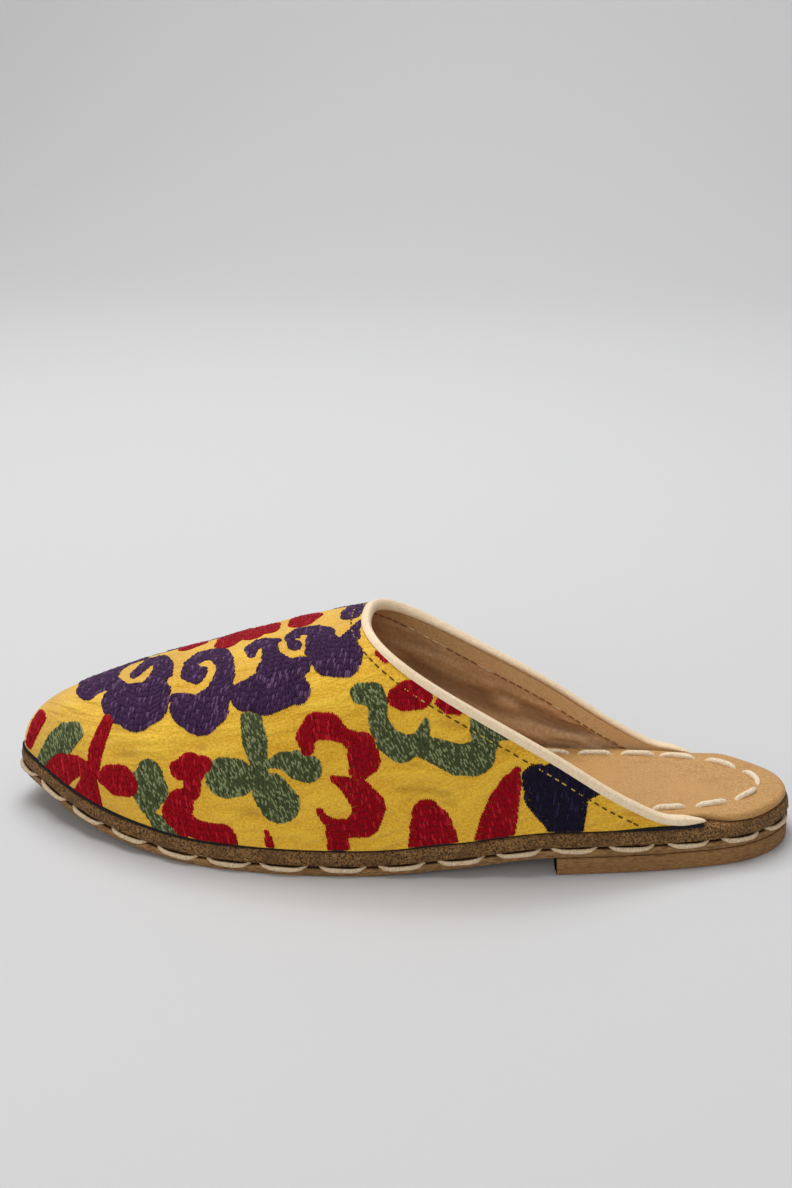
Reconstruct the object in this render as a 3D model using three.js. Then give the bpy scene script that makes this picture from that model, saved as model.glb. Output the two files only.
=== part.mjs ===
// A left-foot mule: a low leather sole with a heel lift, an insole, and an open-backed vamp with a bound topline.
// Millimetres, +X to the toe, +Y to the wearer's left (the little-toe side), +Z up, the floor at Z = 0.
import * as THREE from 'three';

// Driving dimensions
const SOLE_LENGTH = 265.5;
const HEEL_HEIGHT = 6;
const HEEL_BREAST = 78;
const OUTSOLE_THICKNESS = 3;
const MIDSOLE_THICKNESS = 5;
const INSOLE_THICKNESS = 2.6;
const WALL = 2;
const CLEARANCE = 0.3;
// Distance of the upper's lower edge from the sole's edge, and how far its sides swell, as a share of half its width
const FEATHER_MARGIN = 1.2;
const SIDE_SWELL = 0.02;
const BINDING = { thickness: 0.9, outerLeg: 2.4, innerLeg: 0.8, crown: 0.4, wallGap: 0.4, floorGap: 0.5 };

// Rounding of each sole piece's edge, top and bottom
const MIDSOLE_EDGE = { top: 1.6, bottom: 0.3 };
const OUTSOLE_EDGE = { top: 0.2, bottom: 0.7 };
const LIFT_EDGE = { top: 0.2, bottom: 0.5 };
const INSOLE_EDGE = { top: 0.9, bottom: 0.1 };

// Mesh density
const SOLE_STEPS = 44;
const LIFT_STEPS = 18;
const EDGE_STEPS = 2;
const TAIL_RIBS = 25;
const VAMP_RIBS = 23;
const RIB_STEPS = 13;
const BINDING_STEPS = 6;

// Sole outline: share of the length from the heel, and each edge's distance from the heel's centre line
const OUTLINE = [
  { along: 0.0, lateral: 0, medial: 0 },
  { along: 0.015, lateral: 12.5, medial: -12.5 },
  { along: 0.06, lateral: 23.6, medial: -23.6 },
  { along: 0.14, lateral: 31.0, medial: -30.2 },
  { along: 0.27, lateral: 37.2, medial: -30.6 },
  { along: 0.4, lateral: 41.0, medial: -30.4 },
  { along: 0.52, lateral: 43.6, medial: -36.6 },
  { along: 0.62, lateral: 44.2, medial: -42.8 },
  { along: 0.72, lateral: 40.8, medial: -46.0 },
  { along: 0.82, lateral: 31.6, medial: -44.4 },
  { along: 0.9, lateral: 18.8, medial: -38.2 },
  { along: 0.96, lateral: 4.6, medial: -28.8 },
  { along: 0.99, lateral: -3.6, medial: -19.8 },
  { along: 1.0, lateral: -10.5, medial: -10.5 },
];

// Underside of the outsole: level heel seat, arch, level tread, toe spring
const TREAD = [
  { along: 0.0, height: HEEL_HEIGHT },
  { along: 0.3, height: HEEL_HEIGHT },
  { along: 0.41, height: 2.9 },
  { along: 0.54, height: 0 },
  { along: 0.72, height: 0 },
  { along: 0.84, height: 2.6 },
  { along: 1.0, height: 11 },
];

// Cross-sections of the last: height of the crest over the feather line, its share of the way from the lateral to
// the medial edge, and the fullness of the section (2 is an ellipse, more is squarer)
const SECTIONS = [
  { along: 0.1, rise: 67.0, crest: 0.5, fullness: 2.4 },
  { along: 0.3, rise: 69.6, crest: 0.5, fullness: 2.6 },
  { along: 0.52, rise: 67.8, crest: 0.5, fullness: 2.8 },
  { along: 0.62, rise: 60.8, crest: 0.5, fullness: 2.7 },
  { along: 0.72, rise: 52.2, crest: 0.49, fullness: 2.5 },
  { along: 0.82, rise: 41.8, crest: 0.47, fullness: 2.4 },
  { along: 0.9, rise: 30.4, crest: 0.45, fullness: 2.3 },
  { along: 0.96, rise: 19.0, crest: 0.45, fullness: 2.2 },
  { along: 1.0, rise: 0, crest: 0.45, fullness: 2.2 },
];

// Topline seen from the side, from the end of the tails to just past the throat
const TOPLINE = [
  { fromHeel: 33, height: 16.8 },
  { fromHeel: 44, height: 18.4 },
  { fromHeel: 55, height: 24.0 },
  { fromHeel: 80, height: 40.4 },
  { fromHeel: 124, height: 66.0 },
  { fromHeel: 146, height: 78.4 },
];

// Distance of the insole's edge from the sole's edge: close at the heel, then clear of the binding and the wall
const INSOLE_INSET = [
  { fromHeel: 18, inset: 1.2 },
  { fromHeel: 31, inset: 5.0 },
  { fromHeel: 58, inset: 5.0 },
  { fromHeel: 80, inset: FEATHER_MARGIN + WALL + 2 * CLEARANCE },
];

const LATERAL = 1;
const MEDIAL = -1;
const TAIL_END = TOPLINE[0].fromHeel;
const SEAT_OVER_TREAD = OUTSOLE_THICKNESS + MIDSOLE_THICKNESS + 2 * CLEARANCE;

// Stations along the shoe are counted as a turn from 0 at the heel to PI at the toe, which crowds them at both ends
const turnOfShare = (along) => Math.acos(1 - 2 * along);
const turnOfLength = (fromHeel) => turnOfShare(fromHeel / SOLE_LENGTH);
const lengthOfTurn = (turn) => (SOLE_LENGTH / 2) * (1 - Math.cos(turn));
const spread = (count, first, last) =>
  Array.from({ length: count + 1 }, (_, k) => first + ((last - first) * k) / count);

// A smooth curve through the rows of a table. A level one keeps level stretches level and never overshoots.
function curveThrough(rows, from, to, { spacing = (value) => value, level = false } = {}) {
  const inputs = rows.map((row) => spacing(row[from]));
  const outputs = rows.map((row) => row[to]);
  const last = rows.length - 1;
  const steps = inputs.slice(1).map((input, k) => input - inputs[k]);
  const rates = steps.map((step, k) => (outputs[k + 1] - outputs[k]) / step);
  const slopes = outputs.map((_, k) => {
    if (k === 0) return level ? 0 : rates[0];
    if (k === last) return rates[last - 1];
    const before = rates[k - 1];
    const after = rates[k];
    if (!level) return (before * steps[k] + after * steps[k - 1]) / (steps[k - 1] + steps[k]);
    return before * after <= 0 ? 0 : (2 * before * after) / (before + after);
  });
  return (value) => {
    const input = THREE.MathUtils.clamp(value, inputs[0], inputs[last]);
    let k = 0;
    while (k < last - 1 && input > inputs[k + 1]) k += 1;
    const t = (input - inputs[k]) / steps[k];
    const rest = 1 - t;
    return (1 + 2 * t) * rest * rest * outputs[k] + t * rest * rest * steps[k] * slopes[k]
      + (3 - 2 * t) * t * t * outputs[k + 1] - t * t * rest * steps[k] * slopes[k + 1];
  };
}

const lateralWidth = curveThrough(OUTLINE, 'along', 'lateral', { spacing: turnOfShare });
const medialWidth = curveThrough(OUTLINE, 'along', 'medial', { spacing: turnOfShare });
const treadAtShare = curveThrough(TREAD, 'along', 'height', { level: true });
const crestRise = curveThrough(SECTIONS, 'along', 'rise', { spacing: turnOfShare });
const crestShare = curveThrough(SECTIONS, 'along', 'crest', { spacing: turnOfShare });
const fullness = curveThrough(SECTIONS, 'along', 'fullness', { spacing: turnOfShare });
const toplineHeight = curveThrough(TOPLINE, 'fromHeel', 'height');
const insoleInset = curveThrough(INSOLE_INSET, 'fromHeel', 'inset', { level: true });
const treadHeight = (fromHeel) => treadAtShare(fromHeel / SOLE_LENGTH);
const seatHeight = (fromHeel) => treadHeight(fromHeel) + SEAT_OVER_TREAD;

// A point of the sole's outline, moved inwards square to the outline
function outlinePoint(side, turn, inset) {
  const width = side === LATERAL ? lateralWidth : medialWidth;
  const point = new THREE.Vector2(lengthOfTurn(turn), width(turn));
  const inward = new THREE.Vector2(Math.sign(Math.PI / 2 - turn), 0);
  const probe = 1e-3;
  if (turn > probe && turn < Math.PI - probe) {
    const run = lengthOfTurn(turn + probe) - lengthOfTurn(turn - probe);
    const rise = width(turn + probe) - width(turn - probe);
    inward.set(side * rise, -side * run).normalize();
  }
  return point.addScaledVector(inward, inset);
}

// A point of the last's surface: angle 0 is the lateral feather line, PI / 2 the crest and PI the medial feather line
function lastPoint(turn, angle, inset) {
  const lateral = outlinePoint(LATERAL, turn, FEATHER_MARGIN + inset);
  const medial = outlinePoint(MEDIAL, turn, FEATHER_MARGIN + inset);
  const crest = lateral.clone().lerp(medial, crestShare(turn));
  const edge = angle <= Math.PI / 2 ? lateral : medial;
  const power = 2 / fullness(turn);
  const reach = Math.abs(Math.cos(angle)) ** power + SIDE_SWELL * Math.sin(2 * angle) ** 2;
  const plan = crest.lerp(edge, reach);
  const fullRise = crestRise(turn);
  const rise = Math.max(fullRise - inset, fullRise / 2);
  return new THREE.Vector3(plan.x, plan.y, seatHeight(plan.x) + rise * Math.sin(angle) ** power);
}

// The angle at which the topline cuts a section, or the crest where the topline passes over it
function toplineAngle(turn) {
  const fromHeel = lengthOfTurn(turn);
  const share = (toplineHeight(fromHeel) - seatHeight(fromHeel)) / crestRise(turn);
  return Math.asin(Math.min(share, 1) ** (fullness(turn) / 2));
}

// The station where the topline meets the crest
function findThroat() {
  let open = turnOfLength(TAIL_END);
  let closed = Math.PI - open;
  for (let pass = 0; pass < 50; pass += 1) {
    const middle = (open + closed) / 2;
    if (toplineAngle(middle) < Math.PI / 2) open = middle;
    else closed = middle;
  }
  return closed;
}

// A closed solid between the front and back points of a sheet's patches. Corners at one place are joined, and every
// open border of the sheet gets a rim.
function sheetSolid(patches) {
  const fronts = [];
  const backs = [];
  const known = new Map();
  const cornerOf = ({ front, back }) => {
    const key = [...front, ...back].map((value) => value.toFixed(4)).join();
    if (!known.has(key)) {
      known.set(key, fronts.length);
      fronts.push(front);
      backs.push(back);
    }
    return known.get(key);
  };
  const triangles = [];
  for (const rows of patches) {
    for (let i = 0; i + 1 < rows.length; i += 1) {
      for (let j = 0; j + 1 < rows[i].length; j += 1) {
        const [a, b, c, d] = [rows[i][j], rows[i + 1][j], rows[i + 1][j + 1], rows[i][j + 1]].map(cornerOf);
        triangles.push([a, b, c], [a, c, d]);
      }
    }
  }
  const whole = triangles.filter(([a, b, c]) => a !== b && b !== c && c !== a);
  const borders = new Map();
  for (const [a, b, c] of whole) {
    for (const [start, end] of [[a, b], [b, c], [c, a]]) {
      if (!borders.delete(`${end} ${start}`)) borders.set(`${start} ${end}`, [start, end]);
    }
  }
  const count = fronts.length;
  const faces = [...whole, ...whole.map(([a, b, c]) => [c + count, b + count, a + count])];
  for (const [start, end] of borders.values()) {
    faces.push([end, start, start + count], [end, start + count, end + count]);
  }
  const points = [...fronts, ...backs];
  const volume = faces.reduce((sum, [a, b, c]) => sum + points[a].dot(points[b].clone().cross(points[c])), 0);
  if (volume < 0) faces.forEach((face) => face.reverse());
  const geometry = new THREE.BufferGeometry().setFromPoints(points);
  geometry.setIndex(faces.flat());
  geometry.computeVertexNormals();
  return geometry;
}

// A plate that follows the sole's outline, with rounded edges
function plate({ turns, inset, bottom, top, edge }) {
  const radius = Math.max(edge.top, edge.bottom);
  const quarters = spread(EDGE_STEPS, 0, Math.PI / 2);
  const corner = (side, turn, quarter) => {
    const fromEdge = inset(lengthOfTurn(turn)) + radius * (1 - Math.cos(quarter));
    const plan = outlinePoint(side, turn, fromEdge);
    const round = 1 - Math.sin(quarter);
    return {
      front: new THREE.Vector3(plan.x, plan.y, top(plan.x) - edge.top * round),
      back: new THREE.Vector3(plan.x, plan.y, bottom(plan.x) + edge.bottom * round),
    };
  };
  const rows = turns.map((turn) => [
    ...quarters.map((quarter) => corner(LATERAL, turn, quarter)),
    ...quarters.toReversed().map((quarter) => corner(MEDIAL, turn, quarter)),
  ]);
  return sheetSolid([rows]);
}

const soleTurns = spread(SOLE_STEPS, 0, Math.PI);
const flush = () => 0;

function outsole() {
  const top = (x) => treadHeight(x) + OUTSOLE_THICKNESS;
  return plate({ turns: soleTurns, inset: flush, bottom: treadHeight, top, edge: OUTSOLE_EDGE });
}

function midsole() {
  const bottom = (x) => treadHeight(x) + OUTSOLE_THICKNESS + CLEARANCE;
  const top = (x) => seatHeight(x) - CLEARANCE;
  return plate({ turns: soleTurns, inset: flush, bottom, top, edge: MIDSOLE_EDGE });
}

function insole() {
  const top = (x) => seatHeight(x) + INSOLE_THICKNESS;
  return plate({ turns: soleTurns, inset: insoleInset, bottom: seatHeight, top, edge: INSOLE_EDGE });
}

function heelLift() {
  const turns = spread(LIFT_STEPS, 0, turnOfLength(HEEL_BREAST));
  return plate({ turns, inset: flush, bottom: () => 0, top: () => HEEL_HEIGHT - CLEARANCE, edge: LIFT_EDGE });
}

const throatTurn = findThroat();
const tailTurns = spread(TAIL_RIBS, 0, Math.PI).map((turn) => {
  const share = (1 - Math.cos(turn)) / 2;
  return turnOfLength(TAIL_END + (lengthOfTurn(throatTurn) - TAIL_END) * share);
});
const vampTurns = spread(VAMP_RIBS, throatTurn, Math.PI);

// A corner of the upper's wall on one side, with its outer and inner point
function wallCorner(side, turn, angle) {
  const around = side === LATERAL ? angle : Math.PI - angle;
  return { front: lastPoint(turn, around, 0), back: lastPoint(turn, around, WALL) };
}

// Two quarters that meet along the crest ahead of the throat and stay apart behind it
function upper() {
  const turns = [...tailTurns.slice(0, -1), ...vampTurns];
  const rib = (side, turn) => {
    const top = turn < throatTurn ? toplineAngle(turn) : Math.PI / 2;
    return spread(RIB_STEPS, 0, top).map((angle) => wallCorner(side, turn, angle));
  };
  const lateral = turns.map((turn) => rib(LATERAL, turn));
  const medial = turns.map((turn) => rib(MEDIAL, turn).toReversed());
  return sheetSolid([lateral, medial]);
}

// The outward direction of the last's surface
function lastNormal(turn, angle) {
  const probe = 1e-3;
  const around = lastPoint(turn, angle + probe, 0).sub(lastPoint(turn, angle - probe, 0));
  const forward = lastPoint(turn + probe, angle, 0).sub(lastPoint(turn - probe, angle, 0));
  return around.cross(forward).normalize();
}

// The wall's edge at the topline: its outer and inner point and the outward direction
function toplineRim(side, turn) {
  const angle = toplineAngle(turn);
  const around = side === LATERAL ? angle : Math.PI - angle;
  return { ...wallCorner(side, turn, angle), outward: lastNormal(turn, around) };
}

// A strip folded over the topline, from the lateral tail round the throat to the medial tail
function collarBinding() {
  const lateralRims = tailTurns.map((turn) => toplineRim(LATERAL, turn));
  const medialRims = tailTurns.map((turn) => toplineRim(MEDIAL, turn));
  const rims = [...lateralRims, ...medialRims.toReversed().slice(1)];
  const last = rims.length - 1;
  const fold = spread(BINDING_STEPS, 0, Math.PI).map((turn) => [Math.cos(turn), Math.sin(turn)]);
  const rows = rims.map(({ front, back, outward }, k) => {
    const along = rims[Math.min(k + 1, last)].front.clone().sub(rims[Math.max(k - 1, 0)].front);
    const up = along.cross(outward).normalize();
    const across = back.clone().sub(front);
    const halfWall = -across.dot(outward) / 2;
    const middle = front.clone().addScaledVector(outward, -halfWall);
    middle.addScaledVector(up, Math.max(across.dot(up), 0));
    const longest = front.z - seatHeight(front.x) - BINDING.floorGap;
    const place = (sideways, over, layer) => {
      const leg = Math.min(sideways > 0 ? BINDING.outerLeg : BINDING.innerLeg, longest);
      return middle.clone()
        .addScaledVector(outward, sideways * (halfWall + BINDING.wallGap + layer))
        .addScaledVector(up, over < 0 ? over * leg : over * (BINDING.crown + layer));
    };
    return [[1, -1], ...fold, [-1, -1]].map(([sideways, over]) => (
      { front: place(sideways, over, BINDING.thickness), back: place(sideways, over, 0) }));
  });
  return sheetSolid([rows]);
}

function piece(name, geometry, color, roughness) {
  const material = new THREE.MeshStandardMaterial({ color, roughness, metalness: 0 });
  const mesh = new THREE.Mesh(geometry, material);
  mesh.name = name;
  return mesh;
}

const shoe = new THREE.Group();
shoe.add(
  piece('heel_lift', heelLift(), '#926c46', 0.75),
  piece('outsole', outsole(), '#967048', 0.7),
  piece('midsole', midsole(), '#705232', 0.95),
  piece('insole', insole(), '#cda064', 0.55),
  piece('upper', upper(), '#deb432', 0.9),
  piece('collar_binding', collarBinding(), '#e4d0ac', 0.5),
);

// The origin is on the floor under the middle of the shoe
const bounds = new THREE.Box3().setFromObject(shoe);
const centre = bounds.getCenter(new THREE.Vector3());
shoe.position.set(-centre.x, -centre.y, -bounds.min.z);

const mule = new THREE.Group();
mule.add(shoe);

export default mule;
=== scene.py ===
import logging
import math
from collections.abc import Callable
from dataclasses import dataclass
from enum import Enum
from functools import cached_property

import bpy
import numpy as np
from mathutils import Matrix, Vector


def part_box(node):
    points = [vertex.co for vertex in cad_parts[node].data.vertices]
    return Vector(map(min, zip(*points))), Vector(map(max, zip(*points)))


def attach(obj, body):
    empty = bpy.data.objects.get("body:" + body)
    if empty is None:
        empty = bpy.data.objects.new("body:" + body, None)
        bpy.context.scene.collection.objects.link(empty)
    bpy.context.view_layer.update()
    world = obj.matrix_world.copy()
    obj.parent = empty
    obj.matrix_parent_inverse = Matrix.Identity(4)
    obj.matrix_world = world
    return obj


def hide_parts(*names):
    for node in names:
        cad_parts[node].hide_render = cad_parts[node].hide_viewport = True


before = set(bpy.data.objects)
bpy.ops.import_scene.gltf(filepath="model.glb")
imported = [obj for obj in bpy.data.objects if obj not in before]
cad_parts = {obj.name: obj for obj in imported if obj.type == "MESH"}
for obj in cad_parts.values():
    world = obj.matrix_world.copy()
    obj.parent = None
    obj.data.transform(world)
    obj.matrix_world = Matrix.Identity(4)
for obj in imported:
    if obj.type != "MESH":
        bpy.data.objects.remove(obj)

LOG = logging.getLogger("mule")
Array = np.ndarray
Rows = tuple[tuple[float, ...], ...]
MM = 0.001
BODY = "root"

# Sole outline: share of the length from the heel, lateral and medial edge from the heel's centre line
OUTLINE: Rows = (
    (0.0, 0.0, 0.0), (0.015, 12.5, -12.5), (0.06, 23.6, -23.6), (0.14, 31.0, -30.2), (0.27, 37.2, -30.6),
    (0.4, 41.0, -30.4), (0.52, 43.6, -36.6), (0.62, 44.2, -42.8), (0.72, 40.8, -46.0), (0.82, 31.6, -44.4),
    (0.9, 18.8, -38.2), (0.96, 4.6, -28.8), (0.99, -3.6, -19.8), (1.0, -10.5, -10.5),
)
# Underside of the outsole: share of the length, height
TREAD: Rows = ((0.0, 6.0), (0.3, 6.0), (0.41, 2.9), (0.54, 0.0), (0.72, 0.0), (0.84, 2.6), (1.0, 11.0))
# Sections of the last: share of the length, crest's rise, crest's share from lateral to medial, fullness
SECTIONS: Rows = (
    (0.1, 67.0, 0.5, 2.4), (0.3, 69.6, 0.5, 2.6), (0.52, 67.8, 0.5, 2.8), (0.62, 60.8, 0.5, 2.7),
    (0.72, 52.2, 0.49, 2.5), (0.82, 41.8, 0.47, 2.4), (0.9, 30.4, 0.45, 2.3), (0.96, 19.0, 0.45, 2.2),
    (1.0, 0.0, 0.45, 2.2),
)
# Topline seen from the side: distance from the heel, height
TOPLINE: Rows = ((33.0, 16.8), (44.0, 18.4), (55.0, 24.0), (80.0, 40.4), (124.0, 66.0), (146.0, 78.4))


class Side(Enum):
    """The two sides of a left shoe."""

    LATERAL = 1
    MEDIAL = -1


class Thread(Enum):
    """The embroidery's colours, the lowest layer first."""

    GREEN = "green"
    NAVY = "navy"
    PURPLE = "purple"
    RED = "red"


def column(rows: Rows, index: int) -> tuple[float, ...]:
    """One column of a table."""
    return tuple(row[index] for row in rows)


def linear(red: float, green: float, blue: float) -> tuple[float, float, float, float]:
    """A screen colour from 0 to 255 as the linear colour that a shader takes.

    Args:
        red: Red on the screen.
        green: Green on the screen.
        blue: Blue on the screen.

    Returns:
        The linear colour with full alpha.
    """
    shares = (red / 255, green / 255, blue / 255)
    parts = [share / 12.92 if share <= 0.04045 else ((share + 0.055) / 1.055) ** 2.4 for share in shares]
    return (parts[0], parts[1], parts[2], 1.0)


def unit(vectors: Array) -> Array:
    """Vectors along the last axis, scaled to length one."""
    return vectors / np.maximum(np.linalg.norm(vectors, axis=-1, keepdims=True), 1e-12)


@dataclass(frozen=True)
class Curve:
    """A smooth curve through a few points. A level one keeps level stretches level."""

    inputs: tuple[float, ...]
    outputs: tuple[float, ...]
    level: bool = False

    @cached_property
    def slopes(self) -> Array:
        """The curve's slope at each point.

        Returns:
            One slope for each point.
        """
        steps = np.diff(self.inputs)
        rates = np.diff(self.outputs) / steps
        before, after = rates[:-1], rates[1:]
        if self.level:
            same = before * after > 0
            total = np.where(same, before + after, 1.0)
            inner = np.where(same, 2 * before * after / total, 0.0)
        else:
            inner = (before * steps[1:] + after * steps[:-1]) / (steps[:-1] + steps[1:])
        return np.concatenate([[0.0 if self.level else rates[0]], inner, [rates[-1]]])

    def __call__(self, value: Array) -> Array:
        """The curve's height at given inputs.

        Args:
            value: Inputs, held inside the curve's range.

        Returns:
            The heights.
        """
        inputs = np.asarray(self.inputs)
        outputs = np.asarray(self.outputs)
        steps = np.diff(inputs)
        value = np.clip(value, inputs[0], inputs[-1])
        k = np.clip(np.searchsorted(inputs, value) - 1, 0, len(steps) - 1)
        t = (value - inputs[k]) / steps[k]
        rest = 1 - t
        start = (1 + 2 * t) * rest * rest * outputs[k] + t * rest * rest * steps[k] * self.slopes[k]
        return start + (3 - 2 * t) * t * t * outputs[k + 1] - t * t * rest * steps[k] * self.slopes[k + 1]


def turn_of_share(along: Array) -> Array:
    """The turn, from 0 at the heel to PI at the toe, of a share of the length."""
    return np.arccos(1 - 2 * np.clip(along, 0.0, 1.0))


def by_turn(rows: Rows, index: int) -> Curve:
    """A column of a table as a curve over the turn."""
    return Curve(tuple(turn_of_share(np.array(column(rows, 0)))), column(rows, index))


@dataclass(frozen=True)
class Last:
    """The shoe's last and sole line, in millimetres from the heel's end."""

    length: float = 265.5
    outsole: float = 3.0
    midsole: float = 5.0
    clearance: float = 0.3
    wall: float = 2.0
    feather: float = 1.2
    swell: float = 0.02
    tail_end: float = 33.0
    lateral_width: Curve = by_turn(OUTLINE, 1)
    medial_width: Curve = by_turn(OUTLINE, 2)
    rise: Curve = by_turn(SECTIONS, 1)
    crest: Curve = by_turn(SECTIONS, 2)
    fullness: Curve = by_turn(SECTIONS, 3)
    tread_curve: Curve = Curve(column(TREAD, 0), column(TREAD, 1), level=True)
    topline: Curve = Curve(column(TOPLINE, 0), column(TOPLINE, 1))

    def turn(self, from_heel: Array) -> Array:
        """The turn at a distance from the heel."""
        return turn_of_share(np.asarray(from_heel) / self.length)

    def reach(self, turn: Array) -> Array:
        """The distance from the heel at a turn."""
        return self.length / 2 * (1 - np.cos(turn))

    def tread(self, from_heel: Array) -> Array:
        """Height of the outsole's underside."""
        return self.tread_curve(np.asarray(from_heel) / self.length)

    def seat(self, from_heel: Array) -> Array:
        """Height of the midsole's top, with its glue line."""
        return self.tread(from_heel) + self.outsole + self.midsole + 2 * self.clearance

    def edge(self, side: Side, turn: Array, inset: Array) -> Array:
        """Points of the sole's outline, moved inwards square to it.

        Args:
            side: Lateral or medial edge.
            turn: Stations along the shoe.
            inset: How far to move inwards.

        Returns:
            Plan points, x and y.
        """
        width = self.lateral_width if side is Side.LATERAL else self.medial_width
        turn = np.asarray(turn, float)
        probe = 1e-3
        run = self.reach(turn + probe) - self.reach(turn - probe)
        rise = width(turn + probe) - width(turn - probe)
        inward = unit(np.stack([side.value * rise, -side.value * run], -1))
        pole = (turn <= probe) | (turn >= math.pi - probe)
        straight = np.stack([np.sign(math.pi / 2 - turn), np.zeros_like(turn)], -1)
        inward = np.where(pole[..., None], straight, inward)
        return np.stack([self.reach(turn), width(turn)], -1) + inward * np.asarray(inset)[..., None]

    def point(self, turn: Array, angle: Array, inset: Array = 0.0) -> Array:
        """Points of the last's surface.

        Args:
            turn: Stations along the shoe.
            angle: 0 at the lateral feather line, PI / 2 on the crest, PI at the medial feather line.
            inset: Distance inside the surface.

        Returns:
            Points in millimetres.
        """
        turn, angle = np.broadcast_arrays(np.asarray(turn, float), np.asarray(angle, float))
        lateral = self.edge(Side.LATERAL, turn, self.feather + inset)
        medial = self.edge(Side.MEDIAL, turn, self.feather + inset)
        crest = lateral + (medial - lateral) * self.crest(turn)[..., None]
        near = np.where((angle <= math.pi / 2)[..., None], lateral, medial)
        power = 2 / self.fullness(turn)
        reach = np.abs(np.cos(angle)) ** power + self.swell * np.sin(2 * angle) ** 2
        plan = crest + (near - crest) * reach[..., None]
        full = self.rise(turn)
        rise = np.maximum(full - inset, full / 2)
        height = self.seat(plan[..., 0]) + rise * np.abs(np.sin(angle)) ** power
        return np.concatenate([plan, height[..., None]], -1)

    def topline_angle(self, turn: Array) -> Array:
        """The angle at which the topline cuts a section, or the crest where it passes over it."""
        from_heel = self.reach(turn)
        share = np.clip((self.topline(from_heel) - self.seat(from_heel)) / self.rise(turn), 0.0, 1.0)
        return np.arcsin(share ** (self.fullness(turn) / 2))

    @cached_property
    def throat(self) -> float:
        """The turn where the topline meets the crest."""
        turns = np.linspace(self.turn(100.0), self.turn(160.0), 20001)
        return float(turns[np.argmax(self.topline_angle(turns) > math.pi / 2 - 1e-6)])


class Chart:
    """The upper laid flat: length from the heel, and girth from the lateral feather line."""

    ROWS = 420
    COLUMNS = 801

    def __init__(self, last: Last) -> None:
        """Measures the girth of every section.

        Args:
            last: The last to lay flat.
        """
        self.last = last
        self.turns = np.linspace(float(last.turn(25.0)), math.pi - 0.02, self.ROWS)
        fine = np.geomspace(1e-5, 0.1, 40)
        middle = math.pi / 2
        parts = [np.linspace(0, math.pi, 241), fine, middle - fine, middle + fine, math.pi - fine]
        angles = np.unique(np.concatenate(parts))
        points = last.point(self.turns[:, None], angles[None])
        steps = np.linalg.norm(np.diff(points, axis=1), axis=2)
        self.girths = np.concatenate([np.zeros((self.ROWS, 1)), np.cumsum(steps, 1)], 1)
        self.samples = angles
        self.total = self.girths[:, -1]
        shares = np.linspace(0, 1, self.COLUMNS)
        self.angles = np.stack([np.interp(shares * row[-1], row, angles) for row in self.girths])

    def row(self, turn: Array) -> tuple[Array, Array]:
        """The table's row below a turn and the share of the way to the next one."""
        place = (turn - self.turns[0]) / (self.turns[1] - self.turns[0])
        row = np.clip(np.floor(place).astype(int), 0, self.ROWS - 2)
        return row, np.clip(place - row, 0.0, 1.0)

    def full(self, turn: Array) -> Array:
        """The whole girth of a section."""
        return np.interp(turn, self.turns, self.total)

    def girth(self, turn: Array, angle: Array) -> Array:
        """The girth at an angle of a section.

        Args:
            turn: Stations, one axis.
            angle: One angle for each station.

        Returns:
            The girths.
        """
        row, part = self.row(turn)
        low = np.array([np.interp(a, self.samples, self.girths[r]) for a, r in zip(angle, row)])
        high = np.array([np.interp(a, self.samples, self.girths[r + 1]) for a, r in zip(angle, row)])
        return low + (high - low) * part

    def angle(self, turn: Array, girth: Array) -> Array:
        """The angle at a girth of a section.

        Args:
            turn: Stations.
            girth: Girths from the lateral feather line.

        Returns:
            The angles.
        """
        row, part = self.row(turn)
        share = np.clip(girth / self.full(turn), 0.0, 1.0) * (self.COLUMNS - 1)
        col = np.clip(np.floor(share).astype(int), 0, self.COLUMNS - 2)
        rest = share - col
        low = self.angles[row, col] * (1 - rest) + self.angles[row, col + 1] * rest
        high = self.angles[row + 1, col] * (1 - rest) + self.angles[row + 1, col + 1] * rest
        return low * (1 - part) + high * part

    def point(self, along: Array, girth: Array, inset: Array = 0.0) -> Array:
        """Points of the surface at chart places."""
        turn = self.last.turn(along)
        return self.last.point(turn, self.angle(turn, girth), inset)

    def axes(self, along: Array, girth: Array) -> tuple[Array, Array, Array]:
        """The surface's directions at chart places.

        Args:
            along: Lengths from the heel.
            girth: Girths from the lateral feather line.

        Returns:
            The steps for a millimetre along and a millimetre around, and the outward normal.
        """
        probe = 0.4
        ahead = self.point(along + probe, girth) - self.point(along - probe, girth)
        around = self.point(along, girth + probe) - self.point(along, girth - probe)
        return ahead / (2 * probe), around / (2 * probe), unit(np.cross(around, ahead))

    def offset(self, along: Array, girth: Array, distance: float) -> tuple[Array, Array]:
        """A path moved sideways within the surface.

        Args:
            along: The path's lengths from the heel, from the lateral tail round to the medial tail.
            girth: The path's girths.
            distance: How far to move it away from the opening.

        Returns:
            The moved path's lengths and girths.
        """
        steps = max(1, math.ceil(distance))
        for _ in range(steps):
            ahead, around, normal = self.axes(along, girth)
            points = self.point(along, girth)
            away = unit(np.cross(normal, np.gradient(points, axis=0))) * (distance / steps)
            aa, ab, bb = (ahead * ahead).sum(-1), (ahead * around).sum(-1), (around * around).sum(-1)
            pa, pb = (away * ahead).sum(-1), (away * around).sum(-1)
            area = aa * bb - ab * ab
            along = along + (pa * bb - pb * ab) / area
            girth = girth + (pb * aa - pa * ab) / area
        return along, girth


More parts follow.
